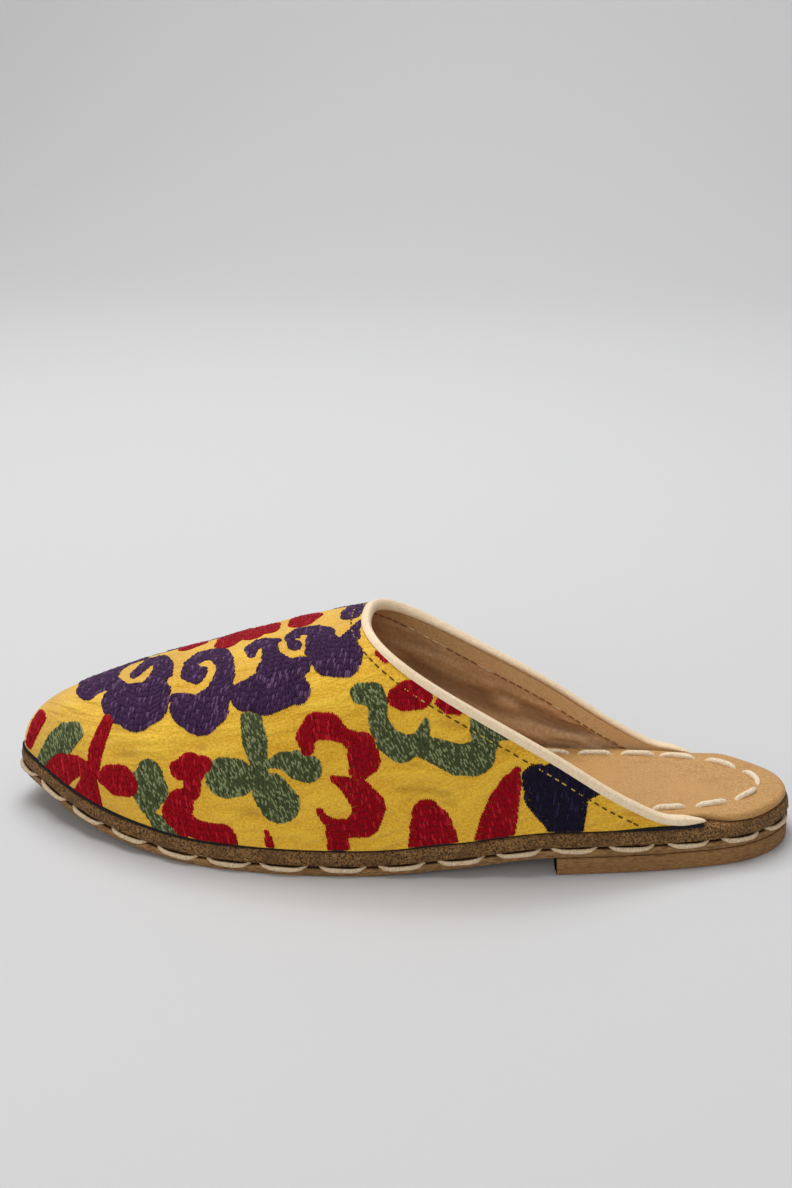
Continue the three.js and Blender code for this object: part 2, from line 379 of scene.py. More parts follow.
@dataclass(frozen=True)
class Crease:
    """A soft trough or ridge between two chart places."""

    start: tuple[float, float]
    end: tuple[float, float]
    width: float
    height: float

    def lift(self, along: Array, girth: Array) -> Array:
        """How far the crease lifts the surface.

        Args:
            along: Lengths from the heel.
            girth: Girths from the feather line.

        Returns:
            Heights, negative in a trough.
        """
        start = np.array(self.start)
        run = np.array(self.end) - start
        length = float(np.hypot(*run))
        over = np.stack([along, girth], -1) - start
        share = (over @ run) / length**2
        aside = (over[..., 0] * run[1] - over[..., 1] * run[0]) / length
        bend = aside - 0.06 * length * np.sin(math.pi * np.clip(share, 0.0, 1.0))
        ends = np.clip(1.15 - np.abs(2 * share - 1) ** 2.5, 0.0, 1.0)
        return self.height * np.exp(-((bend / self.width) ** 2)) * ends


class Value:
    """An output of a shader node that takes part in arithmetic."""

    def __init__(self, graph: "Graph", socket: bpy.types.NodeSocket) -> None:
        """Wraps a socket.

        Args:
            graph: The graph that the socket belongs to.
            socket: The output socket.
        """
        self.graph = graph
        self.socket = socket

    def math(self, operation: str, first: "Value | float", second: "Value | float") -> "Value":
        """A Math node over two values."""
        return self.graph.node("ShaderNodeMath", {"operation": operation}, {0: first, 1: second})

    def __add__(self, other: "Value | float") -> "Value":
        """The sum."""
        return self.math("ADD", self, other)

    __radd__ = __add__

    def __mul__(self, other: "Value | float") -> "Value":
        """The product."""
        return self.math("MULTIPLY", self, other)

    __rmul__ = __mul__

    def __sub__(self, other: "Value | float") -> "Value":
        """The difference."""
        return self.math("SUBTRACT", self, other)

    def __rsub__(self, other: "Value | float") -> "Value":
        """The difference from another value."""
        return self.math("SUBTRACT", other, self)

    def ramp(self, low: float, high: float) -> "Value":
        """The value as a smooth share of the way from low to high.

        Args:
            low: Where the share is 0.
            high: Where the share is 1.

        Returns:
            A share from 0 to 1.
        """
        settings = {"interpolation_type": "SMOOTHSTEP"}
        return self.graph.node("ShaderNodeMapRange", settings, {0: self, 1: low, 2: high})


Input = Value | float | str | tuple[float, ...]


class Graph:
    """A material's node tree with its Principled shader."""

    def __init__(self, material: bpy.types.Material) -> None:
        """Takes over a new material's tree.

        Args:
            material: The material to build.
        """
        material.use_nodes = True
        self.tree = material.node_tree
        self.shader = self.tree.nodes["Principled BSDF"]

    def node(self, kind: str, settings: dict[str, object], inputs: dict[int | str, Input],
             output: int | str = 0) -> Value:
        """Adds a node.

        Args:
            kind: The node's type.
            settings: The node's own properties, set first.
            inputs: Socket values or links, by name or place.
            output: The output that is used.

        Returns:
            The chosen output.
        """
        node = self.tree.nodes.new(kind)
        for name, setting in settings.items():
            setattr(node, name, setting)
        for key, value in inputs.items():
            self.put(node.inputs[key], value)
        return Value(self, node.outputs[output])

    def put(self, socket: bpy.types.NodeSocket, value: Input) -> None:
        """Links a value to a socket, or sets a constant on it.

        Args:
            socket: The input socket.
            value: A value or a constant.
        """
        if isinstance(value, Value):
            self.tree.links.new(value.socket, socket)
        else:
            socket.default_value = value

    def set(self, **inputs: Input) -> None:
        """Sets the Principled shader's inputs, with spaces in their names as underscores."""
        for name, value in inputs.items():
            self.put(self.shader.inputs[name.replace("_", " ")], value)

    def mix(self, share: Value | float, low: Input, high: Input) -> Value:
        """A colour between two colours."""
        return self.node("ShaderNodeMix", {"data_type": "RGBA"}, {0: share, 6: low, 7: high}, 2)

    def millimetres(self) -> Value:
        """Object coordinates in millimetres."""
        place = self.node("ShaderNodeTexCoord", {}, {}, "Object")
        return self.scaled(place, (1000.0, 1000.0, 1000.0))

    def scaled(self, vector: Value, scale: tuple[float, float, float]) -> Value:
        """A vector multiplied part by part."""
        return self.node("ShaderNodeVectorMath", {"operation": "MULTIPLY"}, {0: vector, 1: scale})

    def turned(self, vector: Value, axis: str, angle: float) -> Value:
        """A vector turned about an axis.

        Args:
            vector: the vector.
            axis: X_AXIS, Y_AXIS or Z_AXIS.
            angle: the turn in radians.

        Returns:
            The turned vector.
        """
        inputs = {"Vector": vector, "Angle": angle}
        return self.node("ShaderNodeVectorRotate", {"rotation_type": axis}, inputs)

    def noise(self, vector: Value, size: float, detail: float = 3.0, rough: float = 0.55) -> Value:
        """Noise with spots of about a given size."""
        inputs = {"Vector": vector, "Scale": 1 / size, "Detail": detail, "Roughness": rough}
        return self.node("ShaderNodeTexNoise", {}, inputs, "Fac")

    def attribute(self, name: str) -> Value:
        """A number held on the mesh."""
        return self.node("ShaderNodeAttribute", {"attribute_name": name}, {}, "Fac")

    def bump(self, height: Value, depth: float) -> Value:
        """A normal for a relief whose height is given in millimetres."""
        return self.node("ShaderNodeBump", {}, {"Distance": depth * MM, "Height": height}, "Normal")


@dataclass(frozen=True)
class Finish:
    """A named material."""

    name: str

    def material(self) -> bpy.types.Material:
        """Builds the material.

        Returns:
            The new material.
        """
        material = bpy.data.materials.new(self.name)
        self.paint(Graph(material))
        return material

    def paint(self, graph: Graph) -> None:
        """Sets up the shader; every finish has its own way."""
        raise NotImplementedError


Colour = tuple[float, float, float, float]


@dataclass(frozen=True)
class Leather(Finish):
    """Leather, suede or a cut edge: fine grain over broad blotches."""

    dark: Colour
    light: Colour
    blotch: Colour
    grain: float = 0.5
    spread: float = 14.0
    stretch: tuple[float, float, float] = (1.0, 1.0, 1.0)
    contrast: float = 1.0
    depth: float = 0.12
    roughness: float = 0.55

    def paint(self, graph: Graph) -> None:
        """Mixes the grain's two tones, lays the blotches over them and raises the grain.

        Args:
            graph: The material's graph.
        """
        place = graph.scaled(graph.millimetres(), self.stretch)
        grain = graph.noise(place, self.grain, 4.0, 0.65)
        broad = graph.noise(place, self.spread, 3.0, 0.5)
        middle = graph.noise(place, self.spread / 5, 3.0, 0.5)
        half = 0.24 / self.contrast
        tone = grain.ramp(0.5 - half, 0.5 + half)
        colour = graph.mix(tone, self.dark, self.light)
        colour = graph.mix(broad.ramp(0.42, 0.72) * 0.6, colour, self.blotch)
        colour = graph.mix(middle.ramp(0.5, 0.8) * 0.35, colour, self.dark)
        rough = self.roughness + (grain - 0.5) * 0.25 + (middle - 0.5) * 0.2
        normal = graph.bump(grain + middle * 1.5, self.depth)
        graph.set(Base_Color=colour, Roughness=rough, Normal=normal, Specular_IOR_Level=0.35)


@dataclass(frozen=True)
class Lining(Leather):
    """Soft leather with fine wrinkles that run up towards the toe, with painted shade in its folds and in the
    wrinkles' troughs.
    """

    rise: float = 0.36
    # Colour of the painted shade in the lining's folds.
    painted_fold_shade: Colour = linear(128, 88, 54)

    def paint(self, graph: Graph) -> None:
        """Adds the wrinkles, and painted shade in the folds and wrinkle troughs, to the leather.

        Args:
            graph: The material's graph.
        """
        super().paint(graph)
        sloped = graph.turned(graph.millimetres(), "Y_AXIS", self.rise)
        wrinkle = graph.noise(graph.scaled(sloped, (0.16, 0.4, 0.7)), 3.4, 1.0, 0.4)
        # Painted shade: the folds' troughs and the wrinkles' low parts are darkened towards the fold colour.
        folded = graph.attribute("crease").ramp(0.05, 0.9)
        base = Value(graph, graph.shader.inputs["Base Color"].links[0].from_socket)
        shade = folded * 0.6 + (1 - wrinkle.ramp(0.34, 0.5)) * 0.14
        graph.set(Base_Color=graph.mix(shade, base, self.painted_fold_shade), Normal=graph.bump(wrinkle, 1.8))


@dataclass(frozen=True)
class Cloth(Finish):
    """Woven cotton with slubs along the shoe, over which the embroidery lies."""

    shade: Colour
    light: Colour
    # Colour of the painted shade that fills the gaps between the stitches.
    under: Colour
    # Colour of the painted shade in the creases' troughs.
    trough: Colour
    slub: float = 0.55
    pull_slope: float = 0.3
    depth: float = 0.4

    def paint(self, graph: Graph) -> None:
        """Draws the slubs in chart millimetres, paints shade and highlight on the creases, and darkens the
        cloth under the threads with painted shade.

        Args:
            graph: The material's graph.
        """
        chart = graph.node("ShaderNodeUVMap", {"uv_map": "chart"}, {}, "UV")
        weft = graph.noise(graph.scaled(chart, (0.42, 1.0, 1.0)), self.slub, 3.0, 0.65)
        warp = graph.noise(graph.scaled(chart, (1.0, 0.55, 1.0)), self.slub, 2.0, 0.6)
        slope = graph.turned(chart, "Z_AXIS", self.pull_slope)
        pull = graph.noise(graph.scaled(slope, (0.12, 0.6, 1.0)), 2.0, 2.0, 0.5)
        broad = graph.noise(chart, 22.0, 2.0, 0.5)
        tone = (weft * 0.45 + warp * 0.35 + pull * 0.2).ramp(0.37, 0.63)
        colour = graph.mix(tone * 0.75 + broad.ramp(0.3, 0.7) * 0.25, self.shade, self.light)
        # Painted shade in the creases' troughs and painted highlight on their ridges.
        crease = graph.attribute("crease")
        colour = graph.mix((0 - crease).ramp(0.02, 0.5) * 0.35, colour, self.trough)
        colour = graph.mix(crease.ramp(0.02, 0.5) * 0.3, colour, self.light)
        # Painted shade under the embroidery, for the gaps between stitches.
        colour = graph.mix(graph.attribute("covered"), colour, self.under)
        normal = graph.bump(weft * 0.8 + warp * 0.5 + pull * 4.5, self.depth)
        graph.set(Base_Color=colour, Roughness=0.82 + (weft - 0.5) * 0.2, Normal=normal,
                  Specular_IOR_Level=0.25, Sheen_Weight=0.3, Sheen_Roughness=0.5)


@dataclass(frozen=True)
class Yarn(Finish):
    """Embroidery thread with a shade of its own for every stitch."""

    dark: Colour
    middle: Colour
    light: Colour
    fleck: float = 0.78

    def paint(self, graph: Graph) -> None:
        """Picks each stitch's tone from its shade.

        Args:
            graph: The material's graph.
        """
        shade = graph.attribute("shade")
        fibre = graph.noise(graph.millimetres(), 0.22, 2.0, 0.6)
        colour = graph.mix(shade.ramp(-0.5, 0.5), self.dark, self.middle)
        colour = graph.mix(shade.ramp(self.fleck - 0.1, self.fleck + 0.1), colour, self.light)
        colour = graph.mix(fibre.ramp(0.35, 0.75) * 0.3, colour, self.dark)
        graph.set(Base_Color=colour, Roughness=0.62 + (fibre - 0.5) * 0.3, Normal=graph.bump(fibre, 0.08),
                  Specular_IOR_Level=0.1, Sheen_Weight=0.02, Sheen_Roughness=0.4)


@dataclass(frozen=True)
class Studio:
    """Floor, backdrop, light and the camera at the photo's angle."""

    shift: Array
    eye: tuple[float, float, float] = (96.0, 513.7, 255.5)
    forward: tuple[float, float, float] = (0.0672, -0.945, -0.3202)
    lens: float = 50.0
    paper: Colour = linear(203, 203, 204)
    key: float = 16.5
    fill: float = 0.34

    def build(self) -> None:
        """Sets the stage, the lights and the camera."""
        self.sweep()
        self.camera()
        self.area("key", (0.25, -0.32, 1.4), (0.0, 0.0, 0.0), 1.1, self.key)
        self.area("front", (0.3, 1.35, 0.5), (0.0, 0.0, 0.03), 1.2, self.key * 0.42)
        self.area("wall", (0.0, -1.1, 2.2), (0.0, -2.4, 0.9), 1.0, self.key * 1.15)
        world = bpy.data.worlds.new("studio")
        bpy.context.scene.world = world
        world.use_nodes = True
        background = world.node_tree.nodes["Background"]
        background.inputs["Color"].default_value = (1.0, 1.0, 1.0, 1.0)
        background.inputs["Strength"].default_value = self.fill
        bpy.context.scene.view_settings.view_transform = "Standard"

    def sweep(self) -> None:
        """A pale floor that curves up into the backdrop."""
        bend = np.linspace(0, math.pi / 2, 17)
        ahead = np.concatenate([[2.0, 0.6, 0.0, -0.6], -1.2 - 1.2 * np.sin(bend), [-2.4]])
        height = np.concatenate([[0.0] * 4, 1.2 - 1.2 * np.cos(bend), [4.0]])
        points = [(across, y, z) for y, z in zip(ahead, height) for across in (-4.0, 4.0)]
        faces = [(2 * k, 2 * k + 1, 2 * k + 3, 2 * k + 2) for k in range(len(ahead) - 1)]
        mesh = bpy.data.meshes.new("backdrop")
        mesh.from_pydata(points, [], faces)
        mesh.shade_smooth()
        material = bpy.data.materials.new("backdrop_paper")
        graph = Graph(material)
        graph.set(Base_Color=self.paper, Roughness=0.9, Specular_IOR_Level=0.1)
        mesh.materials.append(material)
        backdrop = bpy.data.objects.new("backdrop", mesh)
        bpy.context.scene.collection.objects.link(backdrop)

    def camera(self) -> None:
        """The camera of the photo."""
        data = bpy.data.cameras.new("camera")
        data.lens = self.lens
        data.clip_start = 0.01
        camera = bpy.data.objects.new("camera", data)
        camera.location = Vector((np.array(self.eye) + self.shift) * MM)
        camera.rotation_euler = Vector(self.forward).to_track_quat("-Z", "Y").to_euler()
        bpy.context.scene.collection.objects.link(camera)
        bpy.context.scene.camera = camera

    def area(self, name: str, place: tuple[float, float, float], target: tuple[float, float, float],
             size: float, power: float) -> None:
        """A square soft light.

        Args:
            name: The light's name.
            place: Where it hangs, in metres.
            target: What it faces.
            size: Its side, in metres.
            power: Its power, in watts.
        """
        data = bpy.data.lights.new(name, "AREA")
        data.size = size
        data.energy = power
        light = bpy.data.objects.new(name, data)
        light.location = place
        light.rotation_euler = (Vector(target) - Vector(place)).to_track_quat("-Z", "Y").to_euler()
        bpy.context.scene.collection.objects.link(light)


class Workshop:
    """Turns points of the last into finished pieces in the shared frame."""

    STATIONS = 45

    def __init__(self, last: Last) -> None:
        """Finds where the last stands in the shared frame.

        Args:
            last: The shoe's last.
        """
        low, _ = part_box("outsole")
        turns = np.linspace(0, math.pi, self.STATIONS)
        inner = float(np.min(last.edge(Side.MEDIAL, turns, 0.0)[:, 1]))
        self.shift = np.array([low[0] / MM, low[1] / MM - inner, 0.0])

    def mesh(self, name: str, points: Array, edges: list, faces: list) -> bpy.types.Object:
        """An object from points of the last.

        Args:
            name: The object's name.
            points: Points in millimetres.
            edges: Loose edges.
            faces: Faces as tuples of point numbers.

        Returns:
            The new object.
        """
        mesh = bpy.data.meshes.new(name)
        mesh.from_pydata(((points + self.shift) * MM).tolist(), edges, faces)
        piece = bpy.data.objects.new(name, mesh)
        bpy.context.scene.collection.objects.link(piece)
        return piece

    def solid(self, name: str, points: Array, faces: list, finish: Finish, sharp: float = 40.0,
              chart: Array | None = None, numbers: dict[str, Array] | None = None) -> bpy.types.Object:
        """A closed, smooth, finished piece with its faces outwards.

        Args:
            name: The object's name.
            points: Points in millimetres.
            faces: Faces as tuples of point numbers.
            finish: Its material.
            sharp: Edges that bend more than this, in degrees, stay sharp.
            chart: Each point's place on the chart, for the UV map.
            numbers: Named numbers for the shader, one for each point.

        Returns:
            The new object.
        """
        fans = [(face[0], face[k], face[k + 1]) for face in faces for k in range(1, len(face) - 1)]
        a, b, c = points[np.array(fans)].transpose(1, 0, 2)
        if np.einsum("ij,ij->", a, np.cross(b, c)) < 0:
            faces = [tuple(reversed(face)) for face in faces]
        piece = self.mesh(name, points, [], faces)
        mesh = piece.data
        mesh.shade_smooth()
        mesh.set_sharp_from_angle(angle=math.radians(sharp))
        mesh.materials.append(finish.material())
        corners = np.empty(len(mesh.loops), dtype=np.int32)
        mesh.loops.foreach_get("vertex_index", corners)
        if chart is not None:
            layer = mesh.uv_layers.new(name="chart")
            layer.data.foreach_set("uv", chart[corners].astype(np.float32).ravel())
        for label, values in (numbers or {}).items():
            layer = mesh.attributes.new(label, "FLOAT", "POINT")
            layer.data.foreach_set("value", values.astype(np.float32))
        return piece

    @staticmethod
    def done(piece: bpy.types.Object, slot: str, *nodes: str) -> None:
        """Ties a piece to the frame and reports it.

        Args:
            piece: The finished piece.
            slot: The record's material slot. Not used.
            nodes: The CAD nodes that it stands for.
        """
        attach(piece, BODY)
        if nodes:
            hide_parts(*nodes)
        triangles = sum(len(face.vertices) - 2 for face in piece.data.polygons)
        LOG.info("%s: %d triangles", piece.name, triangles)


def weld(points: Array) -> tuple[Array, Array]:
    """Joins points at one place.

    Args:
        points: Points, one to a row.

    Returns:
        The first row of each joined point, and the joined point's number for every row.
    """
    _, first, ids = np.unique(np.round(points, 3), axis=0, return_index=True, return_inverse=True)
    return first, ids.ravel()


def tidy_faces(quads: Array) -> list[tuple[int, ...]]:
    """Drops corners that were joined.

    Args:
        quads: Four point numbers to a row.

    Returns:
        Faces with at least three corners.
    """
    faces = []
    for quad in quads.tolist():
        face = tuple(corner for k, corner in enumerate(quad) if corner != quad[k - 1])
        if len(set(face)) >= 3:
            faces.append(face)
    return faces


def grid_quads(ids: Array) -> Array:
    """The four corners of each cell of a grid of point numbers."""
    return np.stack([ids[:-1, :-1], ids[1:, :-1], ids[1:, 1:], ids[:-1, 1:]], -1).reshape(-1, 4)


@dataclass(frozen=True)
class Patch:
    """A grid of front and back points with their chart places."""

    front: Array
    back: Array
    chart: Array


def thicken(patches: list[Patch]) -> tuple[Array, list[tuple[int, ...]], Array]:
    """Closes the space between the front and back points of a sheet's patches.

    Args:
        patches: Grids whose shared borders are joined.

    Returns:
        Points, faces, and each point's chart place.
    """
    fronts = np.concatenate([patch.front.reshape(-1, 3) for patch in patches])
    backs = np.concatenate([patch.back.reshape(-1, 3) for patch in patches])
    chart = np.concatenate([patch.chart.reshape(-1, 2) for patch in patches])
    first, ids = weld(np.concatenate([fronts, backs], 1))
    cells = []
    start = 0
    for patch in patches:
        rows, columns = patch.front.shape[:2]
        cells.append(grid_quads(ids[start:start + rows * columns].reshape(rows, columns)))
        start += rows * columns
    faces = tidy_faces(np.concatenate(cells))
    count = len(first)
    sides = [(face[k - 1], face[k]) for face in faces for k in range(len(face))]
    known = set(sides)
    rims = [(b, a, a + count, b + count) for a, b in sides if (b, a) not in known]
    behind = [tuple(corner + count for corner in reversed(face)) for face in faces]
    points = np.concatenate([fronts[first], backs[first]])
    return points, faces + behind + rims, np.tile(chart[first], (2, 1))


def loft(sections: Array) -> tuple[Array, list[tuple[int, ...]]]:
    """A skin over closed sections whose end ones are folded flat.

    Args:
        sections: Sections by points by three.

    Returns:
        Points and faces.
    """
    flat = sections.reshape(-1, 3)
    first, ids = weld(flat)
    grid = ids.reshape(sections.shape[:2])
    return flat[first], tidy_faces(grid_quads(np.concatenate([grid, grid[:, :1]], 1)))


class NodeTree:
    """A Geometry Nodes tree with named inputs, used once for each piece."""

    def __init__(self, name: str) -> None:
        """Starts a tree with geometry in and out.

        Args:
            name: The tree's name.
        """
        self.tree = bpy.data.node_groups.new(name, "GeometryNodeTree")
        self.sockets: dict[str, str] = {}
        self.tree.interface.new_socket("Geometry", in_out="OUTPUT", socket_type="NodeSocketGeometry")
        self.declare("Geometry", "NodeSocketGeometry")

    def declare(self, name: str, kind: str) -> None:
        """Adds a named input."""
        socket = self.tree.interface.new_socket(name, in_out="INPUT", socket_type=kind)
        self.sockets[name] = socket.identifier

    def node(self, kind: str, settings: dict[str, object], inputs: dict[str, object]) -> bpy.types.Node:
        """Adds a node.

        Args:
            kind: The node's type.
            settings: The node's own properties, set first.
            inputs: Output sockets to link, or constants, by input name.

        Returns:
            The new node.
        """
        node = self.tree.nodes.new(kind)
        for name, setting in settings.items():
            setattr(node, name, setting)
        for name, value in inputs.items():
            if isinstance(value, bpy.types.NodeSocket):
                self.tree.links.new(value, node.inputs[name])
            else:
                node.inputs[name].default_value = value
        return node

    def named(self, name: str, kind: str) -> bpy.types.NodeSocket:
        """A number or vector held on the points."""
        return self.node("GeometryNodeInputNamedAttribute", {"data_type": kind}, {"Name": name}).outputs[0]

    def end(self, geometry: bpy.types.NodeSocket, material: bpy.types.NodeSocket) -> None:
        """Closes the tree with Realize Instances and Set Material.

        Args:
            geometry: What the tree made.
            material: The material input.
        """
        real = self.node("GeometryNodeRealizeInstances", {}, {"Geometry": geometry})
        dressed = self.node("GeometryNodeSetMaterial", {},
                            {"Geometry": real.outputs[0], "Material": material})
        self.node("NodeGroupOutput", {}, {"Geometry": dressed.outputs[0]})

    def bake(self, piece: bpy.types.Object, values: dict[str, object]) -> None:
        """Runs the tree on an object and keeps the result as a plain mesh.

        Args:
            piece: The object that carries the points.
            values: The tree's inputs by name.
        """
        modifier = piece.modifiers.new("nodes", "NODES")
        modifier.node_group = self.tree
        for name, value in values.items():
            modifier[self.sockets[name]] = value
        depsgraph = bpy.context.evaluated_depsgraph_get()
        made = bpy.data.meshes.new_from_object(piece.evaluated_get(depsgraph), preserve_all_data_layers=True,
                                               depsgraph=depsgraph)
        piece.modifiers.clear()
        piece.data = made
        made.name = piece.name


class Strands:
    """Long stitches that follow a path: threads of varying thickness along polylines."""

    def __init__(self, shop: Workshop, sides: int = 7) -> None:
        """Builds the tree.

        Args:
            shop: Makes the objects.
            sides: Sides of the thread's section.
        """
        self.shop = shop
        self.nodes = NodeTree("strands")
        self.nodes.declare("Sides", "NodeSocketInt")
        self.nodes.declare("Material", "NodeSocketMaterial")
        self.sides = sides
        start = self.nodes.node("NodeGroupInput", {}, {})
        lines = self.nodes.node("GeometryNodeMeshToCurve", {}, {"Mesh": start.outputs["Geometry"]})
        ring = self.nodes.node("GeometryNodeCurvePrimitiveCircle", {},
                               {"Resolution": start.outputs["Sides"], "Radius": 1.0})
        tubes = self.nodes.node("GeometryNodeCurveToMesh", {}, {
            "Curve": lines.outputs[0], "Profile Curve": ring.outputs[0],
            "Scale": self.nodes.named("radius", "FLOAT"), "Fill Caps": True})
        self.nodes.end(tubes.outputs[0], start.outputs["Material"])

    def build(self, name: str, paths: list[tuple[Array, Array]], finish: Finish) -> bpy.types.Object:
        """Makes one piece of many threads.

        Args:
            name: The piece's name.
            paths: Points and radii of each thread, in millimetres.
            finish: The thread's material.

        Returns:
            The new piece.
        """
        points = np.concatenate([path for path, _ in paths])
        radii = np.concatenate([radius for _, radius in paths])
        edges = []
        start = 0
        for path, _ in paths:
            edges += [(k, k + 1) for k in range(start, start + len(path) - 1)]
            start += len(path)
        piece = self.shop.mesh(name, points, edges, [])
        layer = piece.data.attributes.new("radius", "FLOAT", "POINT")
        layer.data.foreach_set("value", (radii * MM).astype(np.float32))
        self.nodes.bake(piece, {"Sides": self.sides, "Material": finish.material()})
        piece.data.shade_smooth()
        return piece


@dataclass(frozen=True)
class Marks:
    """Short stitches: middles, directions, normals, sizes along, across and up, and shades."""

    middle: Array
    along: Array
    normal: Array
    size: Array
    shade: Array


class Needle:
    """Short stitches set on a surface as instances of one small thread."""

    def __init__(self, shop: Workshop) -> None:
        """Builds the tree and the stitch that it repeats.

        Args:
            shop: Makes the objects.
        """
        self.shop = shop
        self.nodes = NodeTree("needle")
        self.nodes.declare("Stitch", "NodeSocketObject")
        self.nodes.declare("Material", "NodeSocketMaterial")
        start = self.nodes.node("NodeGroupInput", {}, {})
        stitch = self.nodes.node("GeometryNodeObjectInfo", {}, {"Object": start.outputs["Stitch"]})
        turned = self.nodes.node("FunctionNodeAxesToRotation", {"primary_axis": "Z", "secondary_axis": "X"}, {
            "Primary Axis": self.nodes.named("normal", "FLOAT_VECTOR"),
            "Secondary Axis": self.nodes.named("along", "FLOAT_VECTOR")})
        placed = self.nodes.node("GeometryNodeInstanceOnPoints", {}, {
            "Points": start.outputs["Geometry"], "Instance": stitch.outputs["Geometry"],
            "Rotation": turned.outputs[0], "Scale": self.nodes.named("size", "FLOAT_VECTOR")})
        self.nodes.end(placed.outputs[0], start.outputs["Material"])
        self.stitch = self.thread()

    def thread(self) -> bpy.types.Object:
        """One stitch of unit length, width and height, thin at its ends.

        Returns:
            The object that the tree repeats.
        """
        stations = ((-0.5, 0.5, 0.3), (-0.28, 1.0, 1.0), (0.28, 1.0, 1.0), (0.5, 0.5, 0.3))
        section = ((-0.5, 0.0), (-0.32, 0.8), (0.32, 0.8), (0.5, 0.0))
        points = [(x, y * wide, z * tall) for x, wide, tall in stations for y, z in section]
        count = len(section)
        rings = [[count * k + j for j in range(count)] for k in range(len(stations))]
        faces = [tuple(rings[0]), tuple(reversed(rings[-1]))]
        for low, high in zip(rings, rings[1:]):
            faces += [(low[j], high[j], high[(j + 1) % count], low[(j + 1) % count]) for j in range(count)]
        mesh = bpy.data.meshes.new("stitch")
        mesh.from_pydata(points, [], [tuple(reversed(face)) for face in faces])
        mesh.shade_smooth()
        return bpy.data.objects.new("stitch", mesh)

    def build(self, name: str, marks: Marks, finish: Finish) -> bpy.types.Object:
        """Makes one piece of many stitches.

        Args:
            name: The piece's name.
            marks: Where the stitches lie.
            finish: Their material.

        Returns:
            The new piece.
        """
        piece = self.shop.mesh(name, marks.middle, [], [])
        for label, vectors in (("along", marks.along), ("normal", marks.normal), ("size", marks.size * MM)):
            layer = piece.data.attributes.new(label, "FLOAT_VECTOR", "POINT")
            layer.data.foreach_set("vector", vectors.astype(np.float32).ravel())
        layer = piece.data.attributes.new("shade", "FLOAT", "POINT")
        layer.data.foreach_set("value", marks.shade.astype(np.float32))
        self.nodes.bake(piece, {"Stitch": self.stitch, "Material": finish.material()})
        return piece


def waver(place: Array, *waves: tuple[float, float, float]) -> Array:
    """An uneven hand-made line: a sum of waves of a given length, height and start."""
    return sum(height * np.sin(2 * math.pi * place / length + start) for length, height, start in waves)


